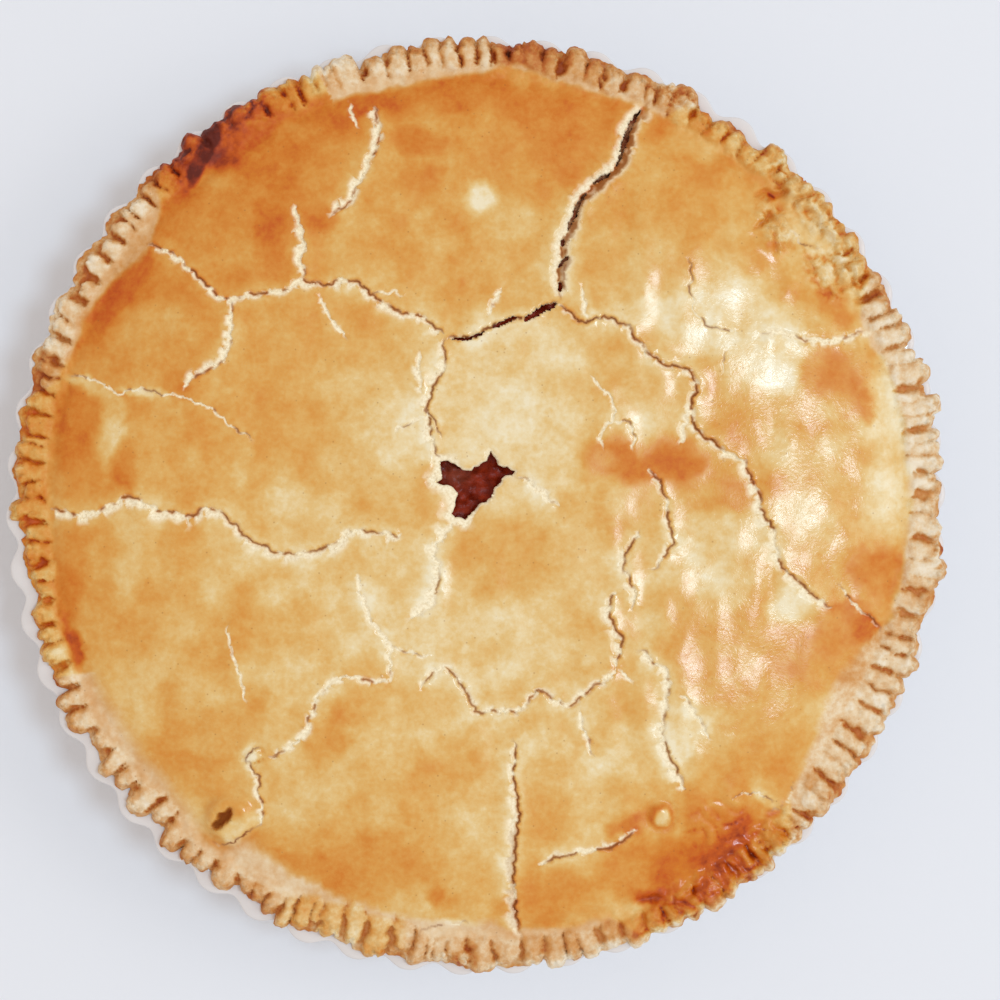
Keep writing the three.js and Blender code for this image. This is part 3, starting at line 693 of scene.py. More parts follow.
# ridges widened where the gap to the next is larger than the fork leaves
def closedRidges():
    rows = np.array(border["ridges"])
    left = rows[:, 0] - rows[:, 1] / 2
    right = rows[:, 0] + rows[:, 1] / 2
    spare = np.maximum((np.roll(left, -1) - right) % 360, 0)
    spare = np.where(spare > 180, 0, np.maximum(spare - border["gap"], 0)) / 2
    right = right + spare
    left = left - np.roll(spare, 1)
    return np.column_stack([(left + right) / 2, right - left, rows[:, 2]]).tolist()


ridges = closedRidges()


def byAngle(name, degrees, column=1):
    spots = np.array(border[name])
    return np.interp(degrees % 360, spots[:, 0], spots[:, column])


# distance across a ridge from its middle line, half its width, and its tip
def ridgeSide(degrees, radius, k):
    centre, width, tip = ridges[k]
    middle = border["middle"]
    turn = (degrees - centre + 180) % 360 - 180
    lean = 0.07 * ridgeRandom[k, 0] * (radius - middle)
    return np.radians(turn) * middle - lean, math.radians(width / 2) * middle + 0.4, tip


# fork marks are never quite straight
def wobble(x, y):
    return 0.42 * noise(x, y, 6, 64) + 0.26 * noise(x, y, 2.6, 65)


def outlineRadius(angle):
    outer = border["outer"]
    x, y = polar(outer, angle).T
    degrees = np.degrees(angle) % 360
    flutes = np.cos((angle - math.radians(pie["fluteTurn"])) * pie["flutes"])
    flutes = (0.5 + 0.6 * between(degrees, *border["flutedEdge"])) * flutes
    edge = byAngle("sheetEdge", degrees) + flutes + 0.5 * noise(x, y, 6, 21) + 0.25 * noise(x, y, 2.2, 22)
    bent = degrees + wobble(x, y)
    for k in range(len(ridges)):
        side, half, tip = ridgeSide(bent, outer, k)
        near = np.abs(side) < half
        curve = np.sqrt(np.maximum(1 - (side[near] / half) ** 2, 0))
        edge[near] = np.maximum(edge[near], tip - 0.3 - 0.9 * half * (1 - curve))
    edge -= 1.1 * smooth(noise(x, y, 1.9, 25), 0.2, 0.8)
    return edge + 0.55 * noise(x, y, 2.6, 23) + 0.6 * noise(x, y, 1.3, 24)


# how far each point stands on a ridge, the number of that ridge, and its flanks, browner on the side away
# from the light as painted shade
def ridgeFields(degrees, radius, wear):
    flankBrownAndShade = np.ones(len(radius))
    body, crown = np.zeros((2, len(radius)))
    which = np.zeros(len(radius), int)
    outside = np.nonzero(radius > border["inner"])[0]
    for k in range(len(ridges)):
        side, half, tip = ridgeSide(degrees[outside], radius[outside], k)
        near = np.nonzero(np.abs(side) < half * 1.3)[0]
        spots = outside[near]
        across = side[near] / half
        end = np.maximum(0, (radius[spots] - (tip - 0.9 * half)) / (0.9 * half))
        reach = (np.abs(across) ** 2.6 + end ** 2.6) ** (1 / 2.6)
        reach = reach + wear[spots]
        shape = fade(reach, 0.74, 1.04)
        higher = shape > body[spots]
        body[spots[higher]] = shape[higher]
        crown[spots[higher]] = np.maximum(1 - reach[higher] ** 2, 0)
        which[spots[higher]] = k
        turn = np.radians(degrees[spots])
        # the pale middle of each ridge is shifted towards the light, so the far flank is painted shade
        lit = 0.28 * (-0.82 * np.sin(turn) - 0.57 * np.cos(turn))
        flankBrownAndShade[spots[higher]] = smooth(np.abs(across - lit) + wear[spots], 0.4, 1.1)[higher]
    return body, crown, which, flankBrownAndShade


# folds: crumpled places in the dough, and single creases
folds = {
    "cell": 3.9,
    "spots": [  # x, y, half sizes, turn, rise, share without egg wash
        (101, 92, 21, 8, -48, 2.2, 0.16), (89.5, 84, 10, 5, -62, 2.1, 0.16),
        (104, 70, 10, 6, -55, 1.2, 0.12), (113, 71, 10, 6, -62, 2, 0.16), (107, 63.5, 4, 3, 0, 0.8, 0),
        (60, 123, 9, 5, -28, 1.5, 0.5), (90.5, -104.5, 22, 6, 42, 1.5, 0.1),
        (60, -122.5, 15, 4.5, 24, 1.5, 0.1), (72, -95, 12, 8, 30, 0.5, 0),
        (-78, 113, 20, 5, 36, 1.1, 0.1), (-64.8, -74.6, 4, 3, 20, 0.9, 0), (11, 137, 6, 3, -5, 1, 0.4),
        (-138, 14, 3.5, 8, 5, 1, 0.3), (-6, -135.5, 7, 3, 0, 1, 0.5), (140, -17, 4, 8, 8, 1, 0.6),
        (138.5, 29, 4, 6, -12, 1, 0.6), (103, -88, 8, 5, 50, 1.1, 0.2),
    ],
    "creases": [  # half width, depth, how much darker (browning and painted shade), bends
        (0.7, 1.2, 0.3, [(83.2, 82.2), (86.5, 85.1), (87.6, 86.9), (89.4, 84.7), (91.5, 82.9)]),
        (0.7, 1.0, 0.3, [(88.7, 80.6), (89, 78.2), (89.6, 75.4)]),
        (1.0, 1.2, 0.26, [(104, 88.5), (106.3, 86.1), (108.8, 82.5), (110.3, 76.7)]),
        (1.0, 1.2, 0.25, [(107.7, 69.5), (111.7, 73.1), (117.5, 75.3)]),
        (1.0, 1.3, 0.28, [(109.5, 64.4), (113.9, 67.3), (120.3, 69.5), (123.2, 66.6)]),
        (1.0, 1.3, 0.28, [(114.6, 60.8), (120.3, 62.3), (126.1, 60.8)]),
        (0.8, 0.8, 0.22, [(98.7, 73.8), (100.9, 69.5)]),
        (0.8, 1.0, 0.25, [(87.9, 99.2), (91.5, 101.3), (95.1, 100.6)]),
        (0.8, 1.0, 0.25, [(87.9, 102.8), (90.8, 105.7), (90.1, 107.8)]),
        (1.0, 1.0, 0.2, [(95, 95.5), (96.6, 93.4), (99.5, 88.3), (101.6, 86.1)]),
        (0.75, 1.0, 0.3, [(84, 92.5), (86.5, 94), (89, 92.5), (92.5, 93.5)]),
        (1.1, 1.0, 0.22, [(48.5, -118), (54, -117.3), (60, -120), (64.5, -116), (68, -113.3)]),
        (1.1, 1.0, 0.2, [(77, -104), (79.5, -107.5), (82, -111)]),
        (1.1, 1.0, 0.2, [(81, -102), (84.5, -107)]),
        (1.1, 1.0, 0.2, [(89, -96), (94, -100.5)]),
        (1.0, 0.8, 0.15, [(72, -108), (75, -113)]),
        (1.0, 0.8, 0.15, [(84.5, -98.5), (88.5, -103.5)]),
    ],
}


# gap between the two nearest cell centres: nothing along the creases
def cobble(x, y, size, seed):
    centres = np.random.default_rng(seed).uniform(0.1, 0.9, (64, 64, 2))
    i = np.floor(x / size).astype(int)
    j = np.floor(y / size).astype(int)
    first = np.full(len(x), 9.0)
    second = np.full(len(x), 9.0)
    for a in (-1, 0, 1):
        for b in (-1, 0, 1):
            spot = centres[(i + a) % 64, (j + b) % 64]
            away = np.hypot(i + a + spot[:, 0] - x / size, j + b + spot[:, 1] - y / size)
            second = np.minimum(second, np.maximum(first, away))
            first = np.minimum(first, away)
    return second - first


def oval(x, y, spot):
    u, v = turned(x, y, *spot[:2], math.radians(spot[4]))
    return np.hypot(u / spot[2], v / spot[3])


def foldFields(x, y):
    rise, creaseShadeAndBrown, matt = np.zeros((3, len(x)))
    for k, spot in enumerate(folds["spots"]):
        away = oval(x, y, spot)
        near = np.nonzero(away < 1.2)[0]
        amount = fade(away[near], 0.55, 1.2)
        u, v = turned(x[near], y[near], *spot[:2], math.radians(spot[4]))
        u, v = u + 1.6 * noise(u, v, 5, 28), v + 1.6 * noise(u, v, 5, 29)
        large = np.abs(noise(u, v, folds["cell"], 200 + k))
        small = np.abs(noise(u, v, folds["cell"] / 2.4, 230 + k))
        rise[near] += spot[5] * amount * (1.5 * large + 0.6 * small - 0.4)
        # darker in the fold creases: browning and painted shade
        raiseTo(creaseShadeAndBrown, near, amount * min(spot[5], 1) * fade(large + 0.35 * small, 0.04, 0.3))
        raiseTo(matt, near, amount * spot[6])
    for width, depth, darker, bends in folds["creases"]:
        path = evenPath(bends, 0.4)[0]
        middle = path.mean(0)
        near = np.nonzero((np.abs(x - middle[0]) < 18) & (np.abs(y - middle[1]) < 18))[0]
        away = pathDistance(x[near], y[near], path) + 0.5 * noise(x[near], y[near], 2.2, 26)
        banks = 0.5 * np.exp(-(away / width / 2.6) ** 2)
        rise[near] += depth * (banks - 1.3 * np.exp(-(away / width) ** 2))
        # single creases darker too: browning and painted shade
        raiseTo(creaseShadeAndBrown, near, darker * 1.5 * np.exp(-(away / width / 1.25) ** 2))
    return rise, creaseShadeAndBrown, matt


# browning of the lid: from the middle outwards, then patch by patch
browning = {
    "broad": 0.08,
    "blotches": (0.055, 0.025),  # everywhere, and added towards the border
    "byRadius": [(0, 0.17), (60, 0.25), (100, 0.35), (120, 0.42), (130, 0.42)],
    "patches": [  # x, y, half sizes, turn, how brown
        (-78, 104, 15, 8, 52, 0.87), (-74, 99, 15, 9, 58, 0.57), (-52, 117, 16, 6, 20, 0.6),
        (-93, 82, 5, 5, 0, 0.6), (-90, 88, 8, 6, 0, 0.55), (-62, 83, 6, 6, 0, 0.6),
        (-47, 86, 6, 6, 0, 0.6), (-55, 92, 8, 4, 0, 0.55), (-55, 84, 14, 14, 0, 0.5),
        (-17, 107.5, 10, 5.5, 0, 0.6), (-20, 123, 18, 4, 8, 0.6), (5, 121, 14, 6, 0, 0.58),
        (25, 115, 14, 10, -30, 0.55), (35, 107, 7, 7, 0, 0.5), (-5, 106, 40, 14, 0, 0.42),
        (30, 98, 8, 8, 0, 0.5), (2, 89, 5.5, 5, 0, 0.03), (-25, 92, 12, 10, 0, 0.4),
        (-76, 93, 10, 10, 0, 0.5), (-64, 67, 9, 3, 0, 0.5), (-108, 62, 18, 5, 52, 0.62),
        (-95, 50, 14, 14, 0, 0.4), (-88, 40, 8, 8, 0, 0.5), (-60, 50, 20, 14, 0, 0.38),
        (-52, 57, 8, 5, 0, 0.42), (-122, 22, 7, 16, 0, 0.62), (-102, 10.5, 4.5, 7, 0, 0.58),
        (-108, 25, 5.5, 14, 0, 0.2), (-85, 25, 18, 10, 0, 0.4), (-124, -15, 5, 14, 0, 0.5),
        (-123.5, -25, 5, 12, 8, 0.6), (-119, -40, 10, 2.3, -66, 0.74), (-112, -35, 10, 18, 0, 0.38),
        (-90, -10, 18, 18, 0, 0.33), (-75, -66, 12, 8, 0, 0.4), (-85, -80, 8, 8, 0, 0.37),
        (-58, -103, 8, 3, -15, 0.5), (-45, -110, 14, 6, -25, 0.48), (-30, -105, 22, 10, 0, 0.42),
        (-40, -61, 6, 4, 0, 0.42), (-45, -70, 8, 6, 0, 0.38), (-14, -115, 3, 3, 0, 0.52),
        (20, -118, 12, 12, 0, 0.45), (-10, -126, 13, 4, 0, 0.08), (-5, -134, 8, 3, 0, 0.6),
        (10, -133, 3, 3, 0, 0.5), (79, -103, 12, 9, -45, 0.76), (55, -119, 10, 4, 0, 0.76),
        (65, -108, 18, 12, 0, 0.65), (45, -110, 8, 12, 0, 0.5), (71, -93, 9, 8, 0, 0.62),
        (90, -97, 6, 4, 0, 0.7), (70, -118, 5, 3, 0, 0.7), (55, -92, 5.5, 5.5, 0, 0.6),
        (55, -92, 3, 3, 0, 0.15), (45, -95, 6, 2.5, 40, 0.6), (85, -75, 14, 12, 0, 0.36),
        (75, -85, 8, 8, 0, 0.41), (116, -42, 4.5, 6, 30, 0.68), (110, -38, 11, 9, 0, 0.52),
        (100, -45, 12, 10, 0, 0.42), (121, -21, 9, 13, 15, 0.6), (105, 40, 10, 8, 0, 0.48),
        (114, 32, 5, 6, 0, 0.46), (107, 60, 6, 5, 0, 0.52), (45, 12, 11, 7, 0, 0.62),
        (57, 15, 10, 5, 0, 0.6), (50, 13, 22, 9, 0, 0.42), (35, 12, 6, 5, 0, 0.4),
        (80, 8, 14, 14, 0, 0.36), (75, 2, 8, 5, 0, 0.42), (10, -15, 18, 14, 0, 0.32),
        (60, 95, 25, 15, 0, 0.4), (70, 105, 12, 8, 0, 0.45), (60, 75, 30, 15, 0, 0.27),
        # (70, 55), (90, 45), (93, -28) and (70, -20) are pale patches where the egg wash shines: paler
        # dough and painted sheen
        (70, 55, 25, 15, 0, 0.1), (90, 45, 10, 12, 0, 0.06), (10, 25, 25, 20, 0, 0.1),
        (-15, -30, 25, 20, 0, 0.14), (0, -50, 12, 9, 0, 0.15), (60, -70, 5, 16, -15, 0.12),
        (93, -28, 8, 7, 0, 0.08), (115, -60, 7, 8, 0, 0.1), (70, -20, 8, 10, 0, 0.1),
        (20, -60, 15, 10, 0, 0.22), (-10, -82, 14, 11, 0, 0.34), (-22, 20, 13, 12, 0, 0.1),
        (-104, -62, 15, 16, 0, 0.29), (13, 24, 7, 5, 0, 0.02), (11, 136, 4, 3, 0, 0.85),
        (-72, -96.5, 6, 4, 30, 0.13), (-64.6, -74.8, 3.2, 2.6, 20, 0.1), (90, -100, 9, 4, 45, 0.78),
        (60, -117, 6, 3, 20, 0.76), (85, 91, 1.8, 1.8, 0, 0.75), (86.6, 77.6, 3, 2.6, 0, 0.5),
        (92, 76.6, 2.6, 2.4, 0, 0.46), (110, 79, 4, 5, 0, 0.46), (12, 45, 20, 14, 0, 0.13),
        (14, 74, 15, 13, 0, 0.25), (104, 80, 15, 17, 0, 0.17), (121, 4, 7, 15, 0, 0.12),
        (119, 27, 9, 12, 12, 0.14), (124.5, 32, 5, 15, 14, 0.04), (63, 108, 9, 6, -30, 0.27),
        (-38, 118, 10, 6, 15, 0.66), (-66, 113, 12, 5.5, 31, 0.76), (-62, 105, 12, 6, 34, 0.6),
        (105, 14, 9, 12, 0, 0.22), (98, 69, 7, 7, 0, 0.2), (72, -14, 12, 14, 0, 0.08),
        (72, -48, 16, 12, 0, 0.32), (88, -89.5, 6, 2.6, -35, 0.2), (-102, -16, 5.5, 13, 0, 0.22),
        (-114, 36, 8, 2.4, -14, 0.2), (-98, 34.5, 6, 2.2, -8, 0.22), (-17, 85, 4.5, 2.5, 0, 0.27),
        (-2.5, 109.5, 2, 2, 0, 0.36), (13, 87.5, 3, 2.5, 0, 0.26),
    ],
}


def bakeAt(x, y):
    radius = np.hypot(x, y)
    u = x / pie["lidRadius"]
    v = y / pie["lidRadius"]
    bake = np.interp(radius, *np.array(browning["byRadius"]).T)
    # paler towards the right: paler dough and painted sheen of the egg wash
    bake = bake - 0.05 * u + 0.03 * v - 0.05 * smooth(x, 60, 110)
    bake = bake + browning["broad"] * rough(x, y, 18, 31) + 0.05 * y / 100 * (1 - u)
    wx = x + 3 * rough(x, y, 13, 34) + 0.8 * rough(x, y, 3.5, 45)
    wy = y + 3 * rough(x, y, 13, 37) + 0.8 * rough(x, y, 3.5, 48)
    for spot in sorted(browning["patches"], key=lambda p: -p[2] * p[3]):
        share = fade(oval(wx, wy, spot), 0.55, 1.25)
        bake = bake * (1 - share) + spot[5] * share
    least, more = browning["blotches"]
    return bake + (least + more * smooth(radius, 40, 80)) * rough(x, y, 7, 41)


# crust: the lid, its cracks and the crimped border in one sheet
crust = {
    "lidStep": 2.1,
    "lidReach": 124.4,
    "crackReach": 125,
    "fineStep": 0.85,
    "fineReach": 124.6,
    "fineZones": [  # x, y, radius
        (100, 86, 27), (-76, -92.5, 11), (55, -92, 9), (72, -92, 20), (104, -88, 12), (-64.8, -74.6, 5),
    ],
    "edgeRows": 22,
    "edgeSteps": 1440,
    "edgeStart": 125.2,
    "join": (124, 129.4),  # radii between which the lid becomes the border
    "waves": 0.42,
    "calm": (50, 14, 20, 9),  # x, y and half sizes of a place with few waves
    "lump": (-73.5, -93.5, 2.2),  # x, y, rise
    "pit": (-75.6, -93.6, 4.4, 1.8, 0.84, 4.2),  # x, y, half sizes, turn in radians, depth
    "bubble": (55, -92, 1.2),  # x, y, rise
    "wet": (76, -106, 27, 15),  # x, y and half sizes of the glossy dark place
}


# floury torn edge of the vent, wider on its left, where the pale torn wall faces the light: painted light
def ventFlourAndLitWall(x, y, vent):
    flour = np.zeros(len(x))
    px, py = cracks["ventMiddle"]
    near = np.nonzero((np.abs(x - px) < 18) & (np.abs(y - py) < 16))[0]
    x = x[near]
    y = y[near]
    # wider on the left and lower left: painted light on the torn wall facing the light
    width = 0.35 + 2 * smooth(-x - 0.35 * y, -1, 6) * (1 + 0.5 * noise(x, y, 3, 59))
    flour[near] = fade(pathDistance(x, y, vent) / width, 0.6, 1.25)
    return flour


# the uncracked lid, its pit, and the distance from the lump
def lidHeight(x, y, radius):
    lid = pie["pastryBase"] + pie["lidThickness"] + dome(radius)
    relief = 0.7 * np.sin(x / 21 + 1.3) * np.cos(y / 21 - 0.4)
    for px, py, rise, size in pie["bumps"]:
        relief += rise * np.exp(-((x - px) ** 2 + (y - py) ** 2) / size ** 2)
    lid = lid + relief * np.maximum(0, 1 - (radius / 140) ** 6)
    calm = (0.5 + 0.5 * smooth(x, 10, 55)) * (1 - 0.8 * bell(x, y, *crust["calm"]))
    lid += crust["waves"] * calm * (noise(x * 2, y, 11, 51) + 0.4 * noise(x * 1.6, y, 5, 52))
    px, py, rise = crust["lump"]
    away = np.hypot(x - px, y - py) + 0.5 * noise(x, y, 4, 54)
    lid += rise * fade(away, 4.5, 9)
    px, py, rx, ry, turn, depth = crust["pit"]
    u, v = turned(x, y, px, py, turn)
    pit = fade(np.hypot(u / rx, v / ry) + 0.3 * noise(x, y, 1.7, 56), 0.5, 1.1)
    lid -= depth * pit
    px, py, rise = crust["bubble"]
    bubble = np.hypot(x - px, y - py)
    lid += rise * np.exp(-(bubble / 3) ** 4) - 0.35 * np.exp(-((bubble - 4.4) / 0.9) ** 2)
    return lid, pit, away


# the border: rounded ridges with slots between them
def rimHeight(x, y, radius, degrees, edge):
    start = byAngle("slotStart", degrees) + 0.5 * noise(x, y, 3, 61)
    wear = 0.2 * rough(x, y, 2.2, 58) - 0.1 * fade(radius, start, start + 4)
    body, crown, which, flankBrownAndShade = ridgeFields(degrees + wobble(x, y), radius, wear)
    start = start + 0.9 * ridgeRandom[which, 1]
    opened = smooth(radius, start - 0.9, start + 1.2)
    slot = (1 - body) * opened
    rim = pie["pastryBase"] + 3.5 + 0.9 * crown * opened + 0.4 * ridgeRandom[which, 2] * body * opened
    rim += border["lumpy"] * noise(x, y, 5, 62) + 0.34 * rough(x, y, 1.9, 63)
    rim -= slot * byAngle("slotDepth", degrees)
    rim -= border["droop"] * smooth(radius, edge - 2.2, edge + 0.2) ** 1.7
    # slots browner, and painted shade on the ridge flank away from the light
    shaded = np.maximum(np.clip(slot * 1.25, 0, 1), 0.5 * flankBrownAndShade * opened)
    return rim, start, body, which, shaded


def rimBake(x, y, radius, degrees, edge, which, shaded):
    ridge = byAngle("browning", degrees, 1) - 0.03 + 0.07 * noise(x, y, 4, 69)
    ridge = ridge + 0.06 * ridgeRandom[which, 3]
    tip = smooth(radius, edge - 4, edge - 0.5)
    ridge = ridge + (byAngle("tips", degrees) + 0.2 * noise(x, y, 2.3, 70)) * tip
    sunk = byAngle("browning", degrees, 2) + 0.08
    cleared = 0.75 * (1 - 0.2 * between(degrees, *border["brownEdge"]))
    # browner where shaded is high: slot browning and painted shade on the far flank
    return ridge + (sunk - ridge) * shaded * (1 - cleared * smooth(radius, edge - 3, edge - 1))


def crustTop(flat, lines, vent):
    x, y = flat.T
    radius = np.hypot(x, y)
    angle = np.arctan2(y, x)
    degrees = np.degrees(angle) % 360
    edge = outlineRadius(angle)
    lid, pit, lumpAway = lidHeight(x, y, radius)
    fall, flour, gapShadeAndBrown, raised, toast = crackFields(x, y, lines)
    foldRise, creaseShadeAndBrown, unglazed = foldFields(x, y)
    torn = ventFlourAndLitWall(x, y, vent)
    flour = np.maximum(flour, torn)
    lid += raised + flour * 0.1 * rough(x, y, 1.4, 55) - fall - 0.5 * torn
    rim, start, body, which, shaded = rimHeight(x, y, radius, degrees, edge)
    join = smooth(radius, *crust["join"])
    top = lid * (1 - join) + (rim - 0.6 * fall * fade(radius, 130, 134)) * join
    top += foldRise * (1 - 0.5 * smooth(radius, edge - 2, edge))
    top += 0.9 * (smooth(cobble(x, y, 2.7, 27), 0, 0.4) - 0.5) * smooth(radius, edge - 5.5, edge - 2)
    low = pie["pastryBase"] + dome(radius) * fade(radius, 126, 130)
    top = np.maximum(top, low + 0.7)

    # bare dough where the egg wash ends
    soft = 2.5 * between(degrees, *border["softWash"])
    beyond = radius - byAngle("glazeEdge", degrees) - 0.8 * rough(x, y, 5, 67)
    bare = smooth(beyond, -0.9 - soft, 1 + soft)
    bareBake = byAngle("bareBrown", degrees) + 0.06 * rough(x, y, 4, 68)
    bake = (bakeAt(x, y) + toast) * (1 - bare) + bareBake * bare
    bare = np.maximum(bare, unglazed)
    golden = between(degrees, *border["golden"]) * smooth(radius, start - 2, start + 1)
    bare = bare * (1 - 0.8 * golden * body)

    # browning of the border; the pit and the creases darker, browning and painted shade; fold tops paler,
    # partly painted light; a painted shadow under the lump
    share = smooth(radius, start - 1.6, start + 0.8)
    bake = bake * (1 - share) + rimBake(x, y, radius, degrees, edge, which, shaded) * share
    # the pit and the creases darker: browning and painted shade; fold tops paler: partly painted light
    bake += 0.35 * pit + 0.32 * creaseShadeAndBrown - 0.1 * smooth(foldRise, 0.1, 0.7)
    # painted shadow: a brown ring just outside the lower side of the lump
    bake += 0.14 * np.exp(-((lumpAway - 8.8) / 1.2) ** 2) * smooth(-95.5 - y, 0, 4)
    flaky = bare * between(degrees, *border["flaky"]) * smooth(radius, 117, 120)
    crumbly = np.maximum(0.38 * smooth(radius, start - 1, start), 0.75 * smooth(radius, edge - 5, edge - 2))
    crumbly = np.maximum(crumbly, np.maximum(0.4 * flaky, 2 * unglazed))
    crumbly = crumbly * (1 - 0.7 * smooth(bake, 0.6, 0.8))
    burnt = fade(oval(x, y, border["burnt"]) + 0.12 * rough(x, y, 4, 73), 0.5, 1.25)
    bake = np.maximum(bake, border["burnt"][5] * burnt)
    bare = bare * (1 - burnt)

    # glossy and matt places
    wet = bell(x, y, *crust["wet"])
    wrinkle = smooth(x, 45, 80) * fade(np.abs(y + 5), 55, 100) * (1 - bare) * fade(bake, 0.4, 0.6)
    wrinkle = np.maximum(wrinkle, 0.9 * wet)
    seam = smooth(radius, 123.5, 126) * (1 - wet)
    matt = np.maximum(np.maximum(flour, 0.75 * bare), 0.65 * seam)
    matt = np.maximum(matt, 0.75 * smooth(bake, 0.34, 0.6) * (1 - wet))
    matt = np.maximum(matt - 0.25 * wet, burnt)
    return top, {
        "bake": bake,
        "crumbly": np.clip(crumbly, 0, 1),
        "wrinkle": np.clip(wrinkle, 0, 1),
        "bare": np.clip(bare, 0, 1),
        "flour": np.clip(flour, 0, 1) * fade(radius, 127, 131),
        # dark crack lines and the pit: painted shade over browned dough, less towards the border
        "gapShadeAndBrown": np.maximum(gapShadeAndBrown * (1 - 0.7 * join), 0.85 * pit),
        "matt": np.clip(matt, -0.2, 1),
    }


def crustBase(flat):
    radius = np.hypot(*flat.T)
    return pie["pastryBase"] + dome(radius) * fade(radius, 124, 127)


def makeCrust(material):
    lines = crackLines()
    steps = crust["edgeSteps"]
    angle = np.arange(steps) / steps * 2 * math.pi
    edge = outlineRadius(angle)
    vent = tornPath(cracks["vent"] + cracks["vent"][:1], step=0.4, swing=0.13, seed=6, corners=True)[0][:-1]
    holes = [vent] + [slitLoop(width, bends, 80 + i) for i, (width, bends) in enumerate(cracks["slits"])]
    rows = []
    for row in range(crust["edgeRows"]):
        shift = math.pi / steps * (row % 2)
        first = crust["edgeStart"]
        reach = first + (edge - 0.55 - first) * row / (crust["edgeRows"] - 1)
        rows.append(polar(reach, angle + shift))
    along = thin(np.concatenate([crackPoints(line) for line in lines]), 0.3)
    along = along[np.hypot(*along.T) < crust["crackReach"]]
    fine = np.concatenate([hexPoints(size, crust["fineStep"], x, y) for x, y, size in crust["fineZones"]])
    fine = fine[np.hypot(*fine.T) < crust["fineReach"]]
    middle = np.array(cracks["ventMiddle"])
    ventRing = np.concatenate([vent * s + middle * (1 - s) for s in (1.06, 1.14, 1.24)])
    lid = hexPoints(crust["lidReach"], crust["lidStep"])
    points = thin(np.concatenate([*rows, along, ventRing, fine, lid]), 0.34)
    for hole in holes:
        points = points[~inside(points, hole)]
    points = clearOf(points, holes, 0.3)
    loops = [polar(edge, angle), *holes]
    piece = sheetSolid("pastryCrust", loops, points, lambda flat: crustTop(flat, lines, vent), crustBase,
                       rows=3, bulge=0.3)
    piece.data.materials.append(material)
    return piece


# filling: meat that shows in the vent and the open cracks
filling = {
    "topRadius": 130.6,
    "footRadius": 117.3,
    "foot": 6.3,
    "rimHeight": 39.25,
    "lumps": 0.9,
    "swell": 2.4,  # rise in the open cracks
    "edgeSteps": 240,
    "step": 5,
    "ventStep": (15, 0.8),  # radius and step of the finer points under the vent
    "crackSteps": [(1.2, 0.35), (3, 0.9)],  # and along the open cracks
    "underStep": 12.0,
    "hollow": (-0.5, 5.5, 11, 0.6),  # x, y, radius and depth under the vent
    "film": (-6, 9, 5, 3.4),  # x, y and half sizes of the greasy place
}


def fillingTop(flat):
    x, y = flat.T
    radius = np.hypot(x, y)
    px, py, size, depth = filling["hollow"]
    top = pie["pastryBase"] - 1.0 + dome(radius) - depth * np.exp(-(np.hypot(x - px, y - py) / size) ** 4)
    lumps = rough(x, y, 4.6, 91) + 0.5 * noise(x, y, 1.8, 94)
    top += filling["lumps"] * (lumps - 0.5) * fade(radius, 118, 124)
    top = np.minimum(top, pie["pastryBase"] - 0.45 + dome(radius))
    for width, bends in cracks["slits"]:
        path = evenPath(bends, 0.3)[0]
        near = np.nonzero(np.hypot(x - path[:, 0].mean(), y - path[:, 1].mean()) < 16)[0]
        away = pathDistance(x[near], y[near], path[2:-2])
        top[near] += filling["swell"] * fade(away / width, 0.35, 0.65)
    share = smooth(radius, 124, filling["topRadius"])
    top = top * (1 - share) + filling["rimHeight"] * share
    crumb = smooth(y, 66, 82) * smooth(x, 20, 24) * np.clip(0.65 + 0.6 * noise(x, y, 2.4, 96), 0, 1)
    return top, {"film": bell(x, y, *filling["film"]), "crumb": crumb}


def fillingBase(flat):
    return np.full(len(flat), filling["foot"])


def makeFilling(material):
    steps = filling["edgeSteps"]
    outline = polar(filling["topRadius"], np.arange(steps) / steps * 2 * math.pi)
    spots = [hexPoints(*filling["ventStep"], *cracks["ventMiddle"]), hexPoints(128, filling["step"])]
    for _, bends in cracks["slits"]:
        path = evenPath(bends, 1.2)[0]
        for size, step in filling["crackSteps"]:
            spots += [hexPoints(size, step, *spot) for spot in path]
    points = thin(np.concatenate(spots), 0.3)
    narrow = filling["footRadius"] / filling["topRadius"]
    piece = sheetSolid("meatFilling", [outline], points, fillingTop, fillingBase, rows=2, bulge=0.0,
                       narrow=narrow, coarse=filling["underStep"])
    piece.data.materials.append(material)
    return piece


# dish: profile swept round by a node tree, with flutes in the wall
dish = {
    "fluteDepth": 3.6,
    "crest": 1.3,  # above 1 the crests are wider than the grooves
    "steps": 864,
    "profile": [  # radius, height, share of the flutes
        (0, 0, 0), (60, 0, 0), (112, 0, 0), (119, 0.0, 0), (119.6, 0.3, 0), (120, 0.9, 0),
        (121.5, 1.1, 0.3), (123.5, 1.2, 0.7), (125.6, 1.9, 0.9), (126.8, 3, 1), (127.5, 4.6, 1),
        (129.5, 10, 1), (132.7, 20, 1), (135.9, 30, 1), (138.8, 38.5, 1), (141.2, 40.6, 0.85),
        (141.1, 41.5, 0.85), (140.3, 42, 0.85), (136.4, 42, 1), (135.3, 41.6, 1), (134.6, 40.6, 1),
        (133.8, 38.5, 1), (131, 30, 1), (127.8, 20, 1), (124.6, 10.2, 1), (122.9, 7.6, 0.9),
        (120.5, 6.2, 0.6), (117, 6, 0.2), (110, 6, 0), (60, 6, 0), (0, 6, 0),
    ],
}


